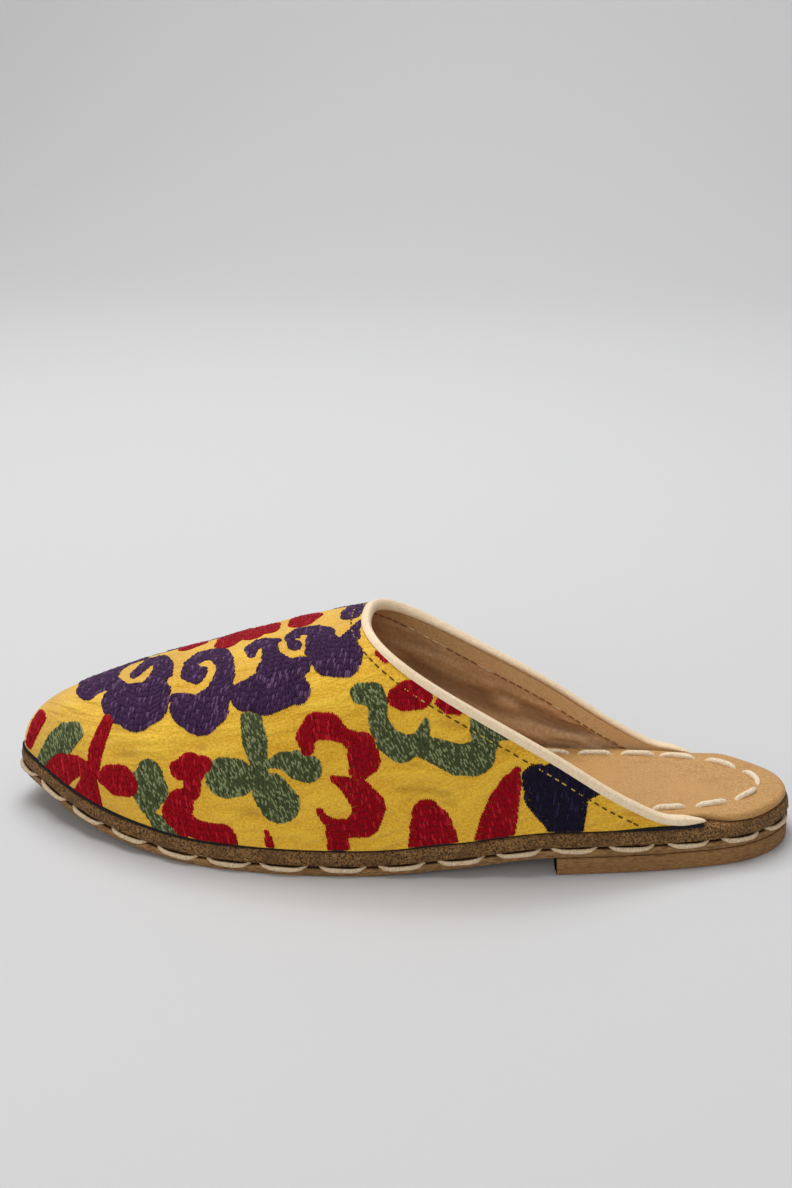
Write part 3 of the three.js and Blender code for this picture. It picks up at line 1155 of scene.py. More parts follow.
@dataclass
class Sole:
    """Heel lift, outsole, suede band and the thick running stitch between them."""

    last: Last
    shop: Workshop
    strands: Strands
    lift_length: float = 78.0
    lift_height: float = 6.0
    stitch_length: float = 15.4
    stitch_gap: float = 3.0
    stitch_radius: float = 0.8
    stitch_height: float = 2.4
    stitch_tuck: float = 1.1
    stitch_proud: float = 0.2
    stitch_depth: float = 2.1
    lift_rim: Rows = ((6.0, 1.0), (0.5, 1.0), (0.1, 0.93), (0.0, 0.6), (0.0, 0.3), (0.25, 0.06), (0.8, 0.0),
                      (6.0, 0.0))
    lip: Rows = ((6.0, 0.62), (2.2, 0.62), (1.3, 0.7), (0.7, 0.92), (0.15, 0.9), (0.0, 0.6), (0.05, 0.3),
                 (0.7, 0.0), (6.0, 0.0))
    band: Rows = ((8.0, 1.0), (2.0, 1.0), (0.9, 0.96), (0.3, 0.84), (0.0, 0.62), (0.0, 0.4), (0.35, 0.16),
                  (1.4, 0.02), (8.0, 0.0))
    rounds: int = 150

    def layer(self, turns: Array, profile: Rows, bottom: Callable[[Array], Array],
              top: Callable[[Array], Array], lumps: float, closed_front: bool = True) -> Array:
        """Sections of one layer of the sole.

        Args:
            turns: Stations.
            profile: Distance from the outline and share of the height, from the top inwards to the bottom.
            bottom: The layer's underside over the length.
            top: The layer's upper side over the length.
            lumps: How uneven the edge is.
            closed_front: Whether the last station is the toe; if not, a flat front is added.

        Returns:
            Sections that loft takes.
        """
        halves = []
        for side in Side:
            points = []
            for k, (inset, share) in enumerate(profile):
                outer = 1.0 if 0 < k < len(profile) - 1 else 0.0
                start = self.last.reach(turns) + 31 * k + 7 * side.value
                lump = waver(start, (13.0, 0.5, 0.0), (5.3, 0.35, k), (2.9, 0.25, 2 * k))
                lump = lump * lumps * outer * np.sin(turns)
                plan = self.last.edge(side, turns, inset + lump)
                low, high = bottom(plan[:, 0]), top(plan[:, 0])
                points.append(np.concatenate([plan, (low + share * (high - low))[:, None]], 1))
            halves.append(np.stack(points, 1))
        lateral, medial = halves
        if not closed_front:
            middle = (lateral[-1:] + medial[-1:]) / 2
            lateral = np.concatenate([lateral, middle])
            medial = np.concatenate([medial, middle])
        return np.concatenate([lateral, medial[:, ::-1]], 1)

    def build(self) -> None:
        """Builds and dresses the sole's pieces."""
        turns = np.linspace(0, math.pi, self.rounds + 1)
        tread = self.last.tread
        lift_turns = np.linspace(0, float(self.last.turn(self.lift_length)), 70)
        sections = self.layer(lift_turns, self.lift_rim, lambda x: 0 * x,
                              lambda x: 0 * x + self.lift_height - self.last.clearance, 0.12, False)
        self.finish("lift", sections, LIFT_EDGE, "lift_leather", "heel_lift")
        sections = self.layer(turns, self.lip, tread, lambda x: tread(x) + self.last.outsole, 0.15)
        self.finish("outsole_lip", sections, OUTSOLE_EDGE, "outsole_leather", "outsole")
        sections = self.layer(turns, self.band, lambda x: tread(x) + self.last.outsole - 0.1,
                              lambda x: self.last.seat(x) - 0.2, 0.3)
        self.finish("suede_band", sections, BAND_SUEDE, "midsole_suede", "midsole")
        piece = self.strands.build("sole_stitches", self.running(), SOLE_THREAD)
        self.shop.done(piece, "midsole_suede")

    def finish(self, name: str, sections: Array, finish: Finish, slot: str, node: str) -> None:
        """Makes a layer's piece."""
        points, faces = loft(sections)
        self.shop.done(self.shop.solid(name, points, faces, finish), slot, node)

    def running(self) -> list[tuple[Array, Array]]:
        """The running stitch all round the sole.

        Returns:
            Points and radii of each stitch.
        """
        chance = np.random.default_rng(11)
        turns = np.linspace(0, math.pi, 1500)
        lateral = self.last.edge(Side.LATERAL, turns, 0.0)
        medial = self.last.edge(Side.MEDIAL, turns, 0.0)[::-1]
        round_turn = np.concatenate([turns, turns[::-1]])
        side = np.concatenate([np.ones(1500), -np.ones(1500)])
        steps = np.linalg.norm(np.diff(np.concatenate([lateral, medial]), axis=0), axis=1)
        length = np.concatenate([[0.0], np.cumsum(steps)])
        count = round(length[-1] / (self.stitch_length + self.stitch_gap))
        pitch = length[-1] / count
        share = np.linspace(0, 1, 13)
        paths = []
        for k in range(count):
            start = (k + 0.3) * pitch + chance.normal(0, 0.35)
            span = pitch - self.stitch_gap + chance.normal(0, 0.4)
            place = (start + span * share) % length[-1]
            turn = np.interp(place, length, round_turn)
            lateral_here = np.interp(place, length, side) > 0
            dip = np.abs(2 * share - 1) ** 4
            inset = self.stitch_depth * dip - self.stitch_proud + chance.normal(0, 0.1)
            plan = np.where(lateral_here[:, None], self.last.edge(Side.LATERAL, turn, inset),
                            self.last.edge(Side.MEDIAL, turn, inset))
            height = self.last.tread(plan[:, 0]) + self.stitch_height + self.stitch_tuck * dip
            height = height + chance.normal(0, 0.12) + (share - 0.5) * 0.3
            radius = self.stitch_radius * (1 - 0.45 * dip) * (1 + 0.06 * np.sin(9 * share + k))
            paths.append((np.concatenate([plan, height[:, None]], 1), radius))
        return paths


@dataclass
class Footbed:
    """The insole and its running stitch."""

    last: Last
    shop: Workshop
    strands: Strands
    thickness: float = 2.6
    stitch_inset: float = 10.4
    stitch_length: float = 12.4
    stitch_gap: float = 2.4
    stitch_radius: float = 1.15
    edge: Rows = ((3.6, 1.0), (2.2, 1.0), (1.2, 0.97), (0.5, 0.84), (0.08, 0.6), (0.0, 0.3), (0.4, 0.0),
                  (3.6, 0.0))
    inset: Curve = Curve((18.0, 31.0, 58.0, 80.0), (1.2, 5.0, 5.0, 3.8), level=True)
    rounds: int = 130

    def top(self, plan: Array) -> Array:
        """Height of the leather's upper side, a little uneven.

        Args:
            plan: Plan points.

        Returns:
            Heights.
        """
        x, y = plan[..., 0], plan[..., 1]
        sway = 0.25 * np.sin(x / 11.0 + y / 17.0) + 0.18 * np.sin(x / 5.1 - y / 9.0 + 1.0)
        return self.last.seat(x) + self.thickness + sway * 0.5

    def build(self) -> None:
        """Builds and dresses the insole and its stitches."""
        turns = np.linspace(0, math.pi, self.rounds + 1)
        base = self.inset(self.last.reach(turns))
        halves = []
        for side in Side:
            start = self.last.reach(turns) + 9 * side.value
            wave = waver(start, (31.0, 0.5, 0.4), (13.0, 0.25, 1.0)) * np.sin(turns)
            points = []
            for inset, share in self.edge:
                plan = self.last.edge(side, turns, base + inset + wave * (inset < 3))
                low = self.last.seat(plan[:, 0])
                points.append(np.concatenate([plan, (low + share * (self.top(plan) - low))[:, None]], 1))
            halves.append(np.stack(points, 1))
        lateral, medial = halves
        across = np.linspace(0, 1, 15)[1:-1]
        upper = medial[:, :1] + (lateral[:, :1] - medial[:, :1]) * across[None, :, None]
        upper[..., 2] = self.top(upper)
        sections = np.concatenate([lateral, medial[:, ::-1], upper], 1)
        points, faces = loft(sections)
        self.shop.done(self.shop.solid("footbed", points, faces, INSOLE_LEATHER), "insole_leather", "insole")
        piece = self.strands.build("footbed_stitches", self.running(), WAXED_THREAD)
        self.shop.done(piece, "insole_leather")

    def running(self) -> list[tuple[Array, Array]]:
        """The running stitch round the heel and along both sides, as far as it can be seen.

        Returns:
            Points and radii of each stitch.
        """
        chance = np.random.default_rng(5)
        turns = np.linspace(0, float(self.last.turn(150.0)), 900)
        lateral = self.last.edge(Side.LATERAL, turns, self.stitch_inset)
        medial = self.last.edge(Side.MEDIAL, turns, self.stitch_inset)
        plan = np.concatenate([lateral[::-1], medial])
        length = np.concatenate([[0.0], np.cumsum(np.linalg.norm(np.diff(plan, axis=0), axis=1))])
        pitch = self.stitch_length + self.stitch_gap
        share = np.linspace(0, 1, 11)
        paths = []
        for k in range(int(length[-1] / pitch)):
            start = k * pitch + chance.normal(0, 0.4)
            place = start + (self.stitch_length + chance.normal(0, 0.5)) * share
            here = np.stack([np.interp(place, length, plan[:, 0]), np.interp(place, length, plan[:, 1])], -1)
            dip = np.abs(2 * share - 1) ** 5
            height = self.top(here) + 0.42 - 1.5 * dip
            radius = self.stitch_radius * (1 - 0.5 * dip) * (1 + 0.05 * np.sin(7 * share + k))
            paths.append((np.concatenate([here, height[:, None]], 1), radius))
        return paths


@dataclass
class Upper:
    """The cloth over its leather lining, and the dark rand at its foot, which is partly a real dark strip and
    partly painted shade along the seam.
    """

    chart: Chart
    shop: Workshop
    strands: Strands
    covered: Callable[[Array, Array], Array]
    bare: Callable[[Array, Array], Array]
    cloth: float = 0.8
    lining: float = 1.0
    columns: int = 92
    tail_ribs: int = 90
    vamp_ribs: int = 120
    rand_radius: Curve = Curve((31.0, 46.0, 62.0, 150.0, 200.0, 262.0),
                               (0.7, 0.75, 0.14, 0.16, 0.42, 0.72), level=True)
    creases: tuple[Crease, ...] = ()
    folds: tuple[Crease, ...] = ()

    def ribs(self) -> tuple[Array, Array]:
        """The upper's stations and the angle where each one ends.

        Returns:
            Turns and angles.
        """
        last = self.chart.last
        share = (1 - np.cos(np.linspace(0, math.pi, self.tail_ribs))) / 2
        reach = last.tail_end + (last.reach(last.throat) - last.tail_end) * share
        turns = np.concatenate([last.turn(reach)[:-1], np.linspace(last.throat, math.pi, self.vamp_ribs)])
        return turns, np.where(turns < last.throat - 1e-9, last.topline_angle(turns), math.pi / 2)

    def relief(self, along: Array, girth: Array) -> Array:
        """How far the cloth's creases lift it at chart places, beside the embroidery."""
        total = sum((crease.lift(along, girth) for crease in self.creases), np.zeros(np.shape(along)))
        return total * self.bare(along, girth)

    def patches(self, outer: float, inner: float, lift: Callable[[Array, Array], Array],
                front: bool) -> list[Patch]:
        """The lateral and the medial half of a layer.

        Args:
            outer: Distance of the outer face inside the last's surface.
            inner: Distance of the inner face.
            lift: The relief over the chart.
            front: Whether the outer face carries the relief, else the inner one does.

        Returns:
            Two patches.
        """
        turns, ends = self.ribs()
        full = self.chart.full(turns)
        share = np.linspace(0, 1, self.columns + 1)
        patches = []
        for side in Side:
            if side is Side.LATERAL:
                girth = self.chart.girth(turns, ends)[:, None] * share[None]
            else:
                rest = full - self.chart.girth(turns, math.pi - ends)
                girth = full[:, None] - rest[:, None] * share[None, ::-1]
            along = np.broadcast_to(self.chart.last.reach(turns)[:, None], girth.shape)
            fade = np.minimum(1.0, np.sin(math.pi * np.clip(girth / full[:, None], 0, 1)) * 8)
            fade = fade * np.clip((math.pi - turns) / 0.3, 0, 1)[:, None]
            relief = lift(along, girth) * fade
            normal = self.chart.axes(along, girth)[2]
            angle = self.chart.angle(np.broadcast_to(turns[:, None], girth.shape), girth)
            faces = [self.chart.last.point(turns[:, None], angle, inset) for inset in (outer, inner)]
            faces[0 if front else 1] = faces[0 if front else 1] + normal * relief[..., None]
            patches.append(Patch(faces[0], faces[1], np.stack([along, girth], -1)))
        return patches

    def build(self) -> None:
        """Builds and dresses the cloth, the lining and the rand."""
        points, faces, chart = thicken(self.patches(0.0, self.cloth, self.relief, True))
        along, girth = chart.T
        # The covered share sets the cloth's painted shade under the threads, the crease heights its painted
        # shade and highlight.
        numbers = {"covered": self.covered(along, girth), "crease": self.relief(along, girth)}
        piece = self.shop.solid("vamp_cloth", points, faces, VAMP_CLOTH, 50.0, chart, numbers)
        self.shop.done(piece, "vamp_cloth", "upper")
        wall = self.chart.last.wall
        points, faces, chart = thicken(self.patches(wall - self.lining, wall, self.fold, False))
        # The fold heights also set the lining's painted shade.
        numbers = {"crease": self.fold(chart[:, 0], chart[:, 1])}
        piece = self.shop.solid("vamp_lining", points, faces, LINING_LEATHER, 50.0, chart, numbers)
        self.shop.done(piece, "vamp_cloth")
        # The dark rand stands partly for a real strip and partly for painted shade in the seam.
        piece = self.strands.build("rand", [self.rand()], RAND_STRIP_AND_SEAM_SHADE)
        self.shop.done(piece, "vamp_cloth")

    def fold(self, along: Array, girth: Array) -> Array:
        """How far the lining's creases lift it, the same on both sides.

        Args:
            along: Lengths from the heel.
            girth: Girths from the lateral feather line.

        Returns:
            Heights, outwards.
        """
        full = self.chart.full(self.chart.last.turn(along))
        near = np.minimum(girth, full - girth)
        return sum((crease.lift(along, near) for crease in self.folds), np.zeros(np.shape(along)))

    def rand(self) -> tuple[Array, Array]:
        """The dark line between the upper and the band, widest at the toe and at the tails; a real strip
        there and painted shade along the seam between.

        Returns:
            Points and radii of one long thread.
        """
        last = self.chart.last
        turns = np.linspace(float(last.turn(last.tail_end - 2)), math.pi, 220)
        lateral = last.edge(Side.LATERAL, turns, last.feather - 0.1)
        medial = last.edge(Side.MEDIAL, turns, last.feather - 0.1)[::-1][1:]
        plan = np.concatenate([lateral, medial])
        radius = self.rand_radius(plan[:, 0])
        height = last.seat(plan[:, 0]) + radius * 0.35
        return np.concatenate([plan, height[:, None]], 1), radius


@dataclass
class Collar:
    """The rolled binding, the facing inside it and their stitches."""

    chart: Chart
    shop: Workshop
    needle: Needle
    relief: Callable[[Array, Array], Array]
    covered: Callable[[Array, Array], Array]
    stations: int = 130
    thickness: float = 0.7
    outer_leg: float = 1.9
    inner_leg: float = 0.7
    crown: float = 0.2
    gap: float = 0.2
    facing: float = 6.6
    seam: float = 5.4
    tip: float = 3.0

    def path(self, past: float = 0.0) -> tuple[Array, Array, Array, Array]:
        """The topline from the lateral tail round the throat to the medial tail.

        Args:
            past: How far it runs past the tails.

        Returns:
            Turns, angles, lengths from the heel and girths.
        """
        last = self.chart.last
        share = (1 - np.cos(np.linspace(0, math.pi, self.stations))) / 2
        start = last.tail_end - past
        turns = last.turn(start + (last.reach(last.throat) - start) * share)
        angles = last.topline_angle(turns)
        angles[-1] = math.pi / 2
        turns = np.concatenate([turns, turns[::-1][1:]])
        angles = np.concatenate([angles, math.pi - angles[::-1][1:]])
        return turns, angles, last.reach(turns), self.chart.girth(turns, angles)

    def build(self) -> None:
        """Builds and dresses the collar's pieces."""
        points, faces, _ = thicken([self.roll()])
        piece = self.shop.solid("binding_roll", points, faces, BINDING_LEATHER, 60.0)
        self.shop.done(piece, "binding_leather", "collar_binding")
        points, faces, _ = thicken([self.strip()])
        piece = self.shop.solid("collar_facing", points, faces, FACING_LEATHER, 60.0)
        self.shop.done(piece, "binding_leather")
        marks = self.dashes(self.seam, 2.1, 1.0, 0.6, 0.0, 3)
        self.shop.done(self.needle.build("collar_stitches", marks, SEAM_THREAD), "vamp_cloth")
        marks = self.dashes(self.facing - 0.9, 2.6, 0.5, 0.55, self.chart.last.wall + 0.5, 4)
        self.shop.done(self.needle.build("facing_stitches", marks, FACING_THREAD), "binding_leather")

    def roll(self) -> Patch:
        """The binding folded over the topline.

        Returns:
            One patch.
        """
        last = self.chart.last
        turns, angles, along, girth = self.path(self.tip)
        front = last.point(turns, angles, 0.0)
        back = last.point(turns, angles, last.wall)
        outward = self.chart.axes(along, girth)[2]
        up = unit(np.cross(np.gradient(front, axis=0), outward))
        across = back - front
        half = -(across * outward).sum(-1) / 2
        middle = front - outward * half[:, None] + up * np.maximum((across * up).sum(-1), 0)[:, None]
        longest = np.maximum(front[:, 2] - last.seat(front[:, 0]) - 0.4, 0.3)
        fold = np.linspace(0, math.pi, 13)
        places = [(1.0, -1.0), (1.0, -0.66), (1.0, -0.33)]
        places += [(math.cos(a), math.sin(a)) for a in fold]
        places += [(-1.0, -0.5), (-1.0, -1.0)]
        thick = [0.35, 0.8, 1.0] + [1.0 + 0.25 * math.sin(a) for a in fold] + [0.9, 0.4]
        taper = np.clip((along - last.tail_end + self.tip) / 7.0, 0.02, 1.0) ** 0.5
        middle = middle - up * (1.0 * (1 - taper))[:, None]
        layers = []
        for layer in (self.thickness, 0.0):
            rows = []
            for (sideways, over), share in zip(places, thick):
                leg = np.minimum(self.outer_leg if sideways > 0 else self.inner_leg, longest) * taper
                lift = over * leg if over < 0 else over * (self.crown + layer * share) * taper
                reach = sideways * (half + self.gap + layer * share) * (0.25 + 0.75 * taper)
                rows.append(middle + outward * reach[:, None] + up * lift[:, None])
            layers.append(np.stack(rows, 1))
        return Patch(layers[0], layers[1], np.zeros(layers[0].shape[:2] + (2,)))

    def strip(self) -> Patch:
        """The facing inside the collar.

        Returns:
            One patch.
        """
        _, _, along, girth = self.path()
        wall = self.chart.last.wall
        rows = []
        for distance in np.linspace(0.6, self.facing, 12):
            place, around = self.chart.offset(along, girth, float(distance))
            full = self.chart.full(self.chart.last.turn(place))
            around = np.clip(around, 0.2, full - 0.2)
            end = 0.1 if distance > self.facing - 0.1 else 0.5
            rows.append([self.chart.point(place, around, inset) for inset in (wall + end, wall + 0.02)])
        front, back = (np.stack([row[k] for row in rows], 1) for k in (0, 1))
        return Patch(front, back, np.zeros(front.shape[:2] + (2,)))

    def dashes(self, distance: float, length: float, gap: float, width: float, inset: float,
               seed: int) -> Marks:
        """A line of machine stitches beside the topline.

        Args:
            distance: Distance from the topline.
            length: Length of a stitch.
            gap: Gap between stitches.
            width: Thickness of the thread.
            inset: Depth inside the last's surface; more than 0 is inside the shoe.
            seed: Seed of the small unevenness.

        Returns:
            The stitches.
        """
        chance = np.random.default_rng(seed)
        _, _, along, girth = self.path()
        along, girth = self.chart.offset(along, girth, distance)
        keep = (girth > 0.6) & (self.chart.full(self.chart.last.turn(along)) - girth > 0.6)
        along, girth = along[keep], girth[keep]
        points = self.chart.point(along, girth, inset)
        run = np.concatenate([[0.0], np.cumsum(np.linalg.norm(np.diff(points, axis=0), axis=1))])
        place = np.arange(2.0, run[-1] - 2.0, length + gap)
        place = place + chance.normal(0, 0.12, len(place))
        x, g = np.interp(place, run, along), np.interp(place, run, girth)
        ahead = [np.interp(place + 0.5 * s * length, run, part) for s in (-1, 1) for part in (along, girth)]
        start = self.chart.point(ahead[0], ahead[1], inset)
        end = self.chart.point(ahead[2], ahead[3], inset)
        normal = self.chart.axes(x, g)[2]
        lift = self.relief(x, g) if inset == 0 else np.zeros_like(x)
        outward = normal if inset == 0 else -normal
        middle = (start + end) / 2 + normal * lift[:, None] - outward * 0.1
        thick = np.full(len(x), width)
        size = np.stack([np.linalg.norm(end - start, axis=1), thick, thick], -1)
        shade = np.where(self.covered(x, g) > 0.3, 0.85, 0.25) + chance.uniform(-0.15, 0.15, len(x))
        return Marks(middle, unit(end - start), outward, size, shade)


@dataclass(frozen=True)
class Stroke:
    """A band of thread through places of the chart: length, girth and half width. A cut one is left bare."""

    places: Rows
    cut: bool = False

    def field(self, points: Array) -> Array:
        """Distance from the stroke's edge, negative inside.

        Args:
            points: Chart places.

        Returns:
            Distances.
        """
        nodes = np.array(self.places)
        if len(nodes) == 1:
            nodes = np.repeat(nodes, 2, axis=0)
        best = np.full(points.shape[:-1], np.inf)
        for start, end in zip(nodes, nodes[1:]):
            run = end[:2] - start[:2]
            share = np.clip(((points - start[:2]) @ run) / max(run @ run, 1e-9), 0.0, 1.0)
            gap = points - start[:2] - share[..., None] * run
            width = start[2] + (end[2] - start[2]) * share
            best = np.minimum(best, np.hypot(gap[..., 0], gap[..., 1]) - width)
        return best


def fill(*places: tuple[float, float, float]) -> Stroke:
    """A stroke that is stitched."""
    return Stroke(places)


def bare(*places: tuple[float, float, float]) -> Stroke:
    """A stroke that is left bare."""
    return Stroke(places, True)


@dataclass(frozen=True)
class Motif:
    """All the strokes of one colour on one side, and how its threads lie."""

    thread: Thread
    side: Side
    strokes: tuple[Stroke, ...]

    def field(self, points: Array) -> Array:
        """Distance from the motif's edge, negative inside.

        Args:
            points: Chart places, with the girth from this side's feather line.

        Returns:
            Distances.
        """
        best = np.full(points.shape[:-1], 1e3)
        for stroke in self.strokes:
            gap = stroke.field(points)
            best = np.maximum(best, -gap) if stroke.cut else np.minimum(best, gap)
        return best


@dataclass(frozen=True)
class Lay:
    """How a colour's stitches lie: slant from the shoe's length, stitch length and row pitch."""

    slant: float
    length: float
    pitch: float
    height: float


@dataclass
class Embroidery:
    """Hand-laid stitches that fill the motifs."""

    chart: Chart
    shop: Workshop
    needle: Needle
    motifs: tuple[Motif, ...]
    foot: float = 0.5
    overlap: float = 1.12
    roll: float = 0.3

    def girth(self, side: Side, along: Array, girth: Array) -> Array:
        """A girth from one side's feather line as one from the lateral feather line, or back."""
        if side is Side.LATERAL:
            return girth
        return self.chart.full(self.chart.last.turn(along)) - girth

    def above(self, motif: Motif, points: Array) -> Array:
        """Distance from the motif's edge where later colours lie over it.

        Args:
            motif: The motif.
            points: Chart places on its side.

        Returns:
            Distances, negative where the motif shows.
        """
        best = motif.field(points)
        order = list(Thread)
        for other in self.motifs:
            if other.side is motif.side and order.index(other.thread) > order.index(motif.thread):
                best = np.maximum(best, 0.15 - other.field(points))
        return best

    def gap(self, along: Array, girth: Array) -> Array:
        """Distance of chart places from the nearest motif's edge.

        Args:
            along: Lengths from the heel.
            girth: Girths from the lateral feather line.

        Returns:
            Distances, negative inside a motif.
        """
        best = np.full(np.shape(along), 1e3)
        for motif in self.motifs:
            points = np.stack([along, self.girth(motif.side, along, girth)], -1)
            best = np.minimum(best, motif.field(points))
        return best

    def covered(self, along: Array, girth: Array) -> Array:
        """How far a chart place lies under the embroidery, from 0 to 1."""
        return np.clip((-self.gap(along, girth) - 0.7) / 0.8, 0.0, 1.0)

    def bare(self, along: Array, girth: Array) -> Array:
        """How far a chart place is free of the embroidery, from 0 to 1."""
        return np.clip((self.gap(along, girth) - 0.2) / 2.0, 0.0, 1.0)

    def build(self) -> None:
        """Builds one piece for each colour."""
        for seed, thread in enumerate(Thread):
            chance = np.random.default_rng(40 + seed)
            parts = [self.marks(motif, chance) for motif in self.motifs if motif.thread is thread]
            marks = Marks(*(np.concatenate([getattr(part, name) for part in parts])
                            for name in ("middle", "along", "normal", "size", "shade")))
            piece = self.needle.build(f"embroidery_{thread.value}", marks, YARNS[thread])
            self.shop.done(piece, "vamp_cloth")

    def runs(self, motif: Motif, chance: np.random.Generator) -> tuple[Array, Array]:
        """The ends of every stitch on the chart.

        Args:
            motif: The motif to fill.
            chance: The source of the small unevenness.

        Returns:
            Start places and end places.
        """
        lay = LAYS[motif.thread]
        nodes = np.concatenate([np.array(stroke.places) for stroke in motif.strokes if not stroke.cut])
        slant = math.radians(lay.slant)
        axis = np.array([math.cos(slant), math.sin(slant)])
        side = np.array([-axis[1], axis[0]])
        reach = np.max(nodes[:, 2])
        low, high = np.min(nodes[:, :2] @ side) - reach, np.max(nodes[:, :2] @ side) + reach
        first, last = np.min(nodes[:, :2] @ axis) - reach, np.max(nodes[:, :2] @ axis) + reach
        step = 0.15
        rows = np.arange(low, high, lay.pitch)
        columns = np.arange(first, last, step)
        points = rows[:, None, None] * side + columns[None, :, None] * axis
        field = self.above(motif, points)
        field = np.maximum(field, self.foot - points[..., 1])
        starts, ends = [], []
        for row, line in zip(rows, field):
            inside = np.concatenate([[False], line < 0, [False]])
            edges = np.flatnonzero(inside[1:] != inside[:-1])
            for begin, stop in zip(edges[::2], edges[1::2]):
                a = columns[min(begin, len(columns) - 1)] - step / 2 + chance.normal(0, 0.1)
                b = columns[stop - 1] + step / 2 + chance.normal(0, 0.1)
                if b - a < 0.35:
                    continue
                first_cut = a + lay.length * chance.uniform(0.75, 1.25)
                cuts = np.arange(first_cut, b - 0.45 * lay.length, lay.length)
                cuts = cuts + chance.normal(0, 0.12, len(cuts))
                places = np.concatenate([[a], cuts, [b]])
                here = row * side + places[:, None] * axis
                starts.append(here[:-1])
                ends.append(here[1:])
        return np.concatenate(starts), np.concatenate(ends)

    def marks(self, motif: Motif, chance: np.random.Generator) -> Marks:
        """The stitches of one motif on the shoe.

        Args:
            motif: The motif to fill.
            chance: The source of the small unevenness.

        Returns:
            The stitches.
        """
        lay = LAYS[motif.thread]
        starts, ends = self.runs(motif, chance)
        middles = (starts + ends) / 2
        chart = self.chart
        places = [(part[:, 0], self.girth(motif.side, part[:, 0], part[:, 1]))
                  for part in (starts, ends, middles)]
        start, end, middle = (chart.point(along, girth) for along, girth in places)
        along, girth = places[2]
        ahead, around, normal = chart.axes(along, girth)
        direction = unit(end - start)
        slant = math.radians(lay.slant)
        beside = -math.sin(slant) * ahead + math.cos(slant) * around * motif.side.value
        width = np.linalg.norm(np.cross(beside, direction), axis=1) * lay.pitch * self.overlap
        length = np.linalg.norm(end - start, axis=1) + 0.25
        lift = chance.uniform(-0.08, 0.02, len(along))
        height = lay.height * chance.uniform(0.8, 1.2, len(along))
        tilt = chance.normal(0, self.roll, len(along))[:, None]
        normal = unit(normal + unit(np.cross(normal, direction)) * tilt)
        size = np.stack([length, width, height], -1)
        return Marks(middle + normal * lift[:, None], direction, normal, size, chance.random(len(along)))


LIFT_EDGE = Leather("lift_edge", linear(108, 74, 40), linear(174, 130, 80), linear(132, 95, 56), grain=0.7,
                    spread=16.0, stretch=(0.35, 0.35, 1.6), depth=0.3, roughness=0.85)
OUTSOLE_EDGE = Leather("outsole_edge", linear(92, 62, 34), linear(176, 134, 84), linear(122, 88, 50),
                       grain=0.8, spread=18.0, stretch=(0.4, 0.4, 1.4), depth=0.35, roughness=0.85)
BAND_SUEDE = Leather("band_suede", linear(54, 33, 15), linear(180, 134, 80), linear(104, 73, 41), grain=0.65,
                     spread=9.0, contrast=1.7, depth=1.2, roughness=0.95)
INSOLE_LEATHER = Leather("insole_tan", linear(160, 114, 60), linear(208, 163, 102), linear(194, 145, 84),
                         grain=0.55, spread=26.0, contrast=1.2, depth=0.14, roughness=0.55)
LINING_LEATHER = Lining("lining_tan", linear(196, 154, 110), linear(234, 196, 152), linear(212, 170, 124),
                         grain=1.2, spread=18.0, contrast=0.8, depth=0.25, roughness=0.55)
FACING_LEATHER = Leather("facing_tan", linear(204, 162, 112), linear(232, 194, 142), linear(216, 174, 122),
                         grain=0.8, spread=12.0, contrast=0.8, depth=0.15, roughness=0.55)
BINDING_LEATHER = Leather("binding_cream", linear(228, 198, 158), linear(250, 230, 200),
                          linear(238, 212, 174), grain=0.8, spread=11.0, contrast=0.8, depth=0.15,
                          roughness=0.5)
# The rand: a real dark strip at the toe and tails, and painted shade along the seam where the cloth meets the
# band.
RAND_STRIP_AND_SEAM_SHADE = Leather("rand_dark", linear(6, 6, 9), linear(22, 22, 28), linear(12, 12, 16), grain=0.8,
                       depth=0.2, roughness=0.9)
WAXED_THREAD = Leather("waxed_thread", linear(214, 184, 140), linear(255, 244, 222), linear(244, 224, 190),
                       grain=0.6, spread=6.0, depth=0.3, roughness=0.65)
SOLE_THREAD = Leather("sole_thread", linear(180, 148, 106), linear(244, 224, 192), linear(220, 192, 152),
                      grain=0.6, spread=6.0, depth=0.3, roughness=0.65)
VAMP_CLOTH = Cloth("vamp_cotton", linear(206, 144, 6), linear(248, 204, 62), linear(60, 34, 30),
                   linear(150, 96, 8))
YARNS = {
    Thread.GREEN: Yarn("yarn_green", linear(36, 44, 24), linear(84, 94, 58), linear(150, 157, 110), 0.7),
    Thread.NAVY: Yarn("yarn_navy", linear(8, 6, 20), linear(26, 20, 44), linear(48, 42, 76), 0.92),
    Thread.PURPLE: Yarn("yarn_purple", linear(22, 10, 27), linear(70, 41, 78), linear(112, 80, 116), 0.88),
    Thread.RED: Yarn("yarn_red", linear(92, 0, 8), linear(164, 0, 22), linear(204, 36, 50), 0.9),
}
SEAM_THREAD = Yarn("seam_thread", linear(48, 36, 12), linear(104, 78, 22), linear(216, 178, 84), 0.6)
FACING_THREAD = Yarn("facing_thread", linear(104, 70, 44), linear(150, 110, 74), linear(232, 210, 176), 0.75)
LAYS = {
    Thread.GREEN: Lay(66.0, 1.15, 0.44, 0.46),
    Thread.NAVY: Lay(97.0, 2.4, 0.56, 0.46),
    Thread.PURPLE: Lay(97.0, 2.2, 0.58, 0.55),
    Thread.RED: Lay(78.0, 2.2, 0.56, 0.5),
}

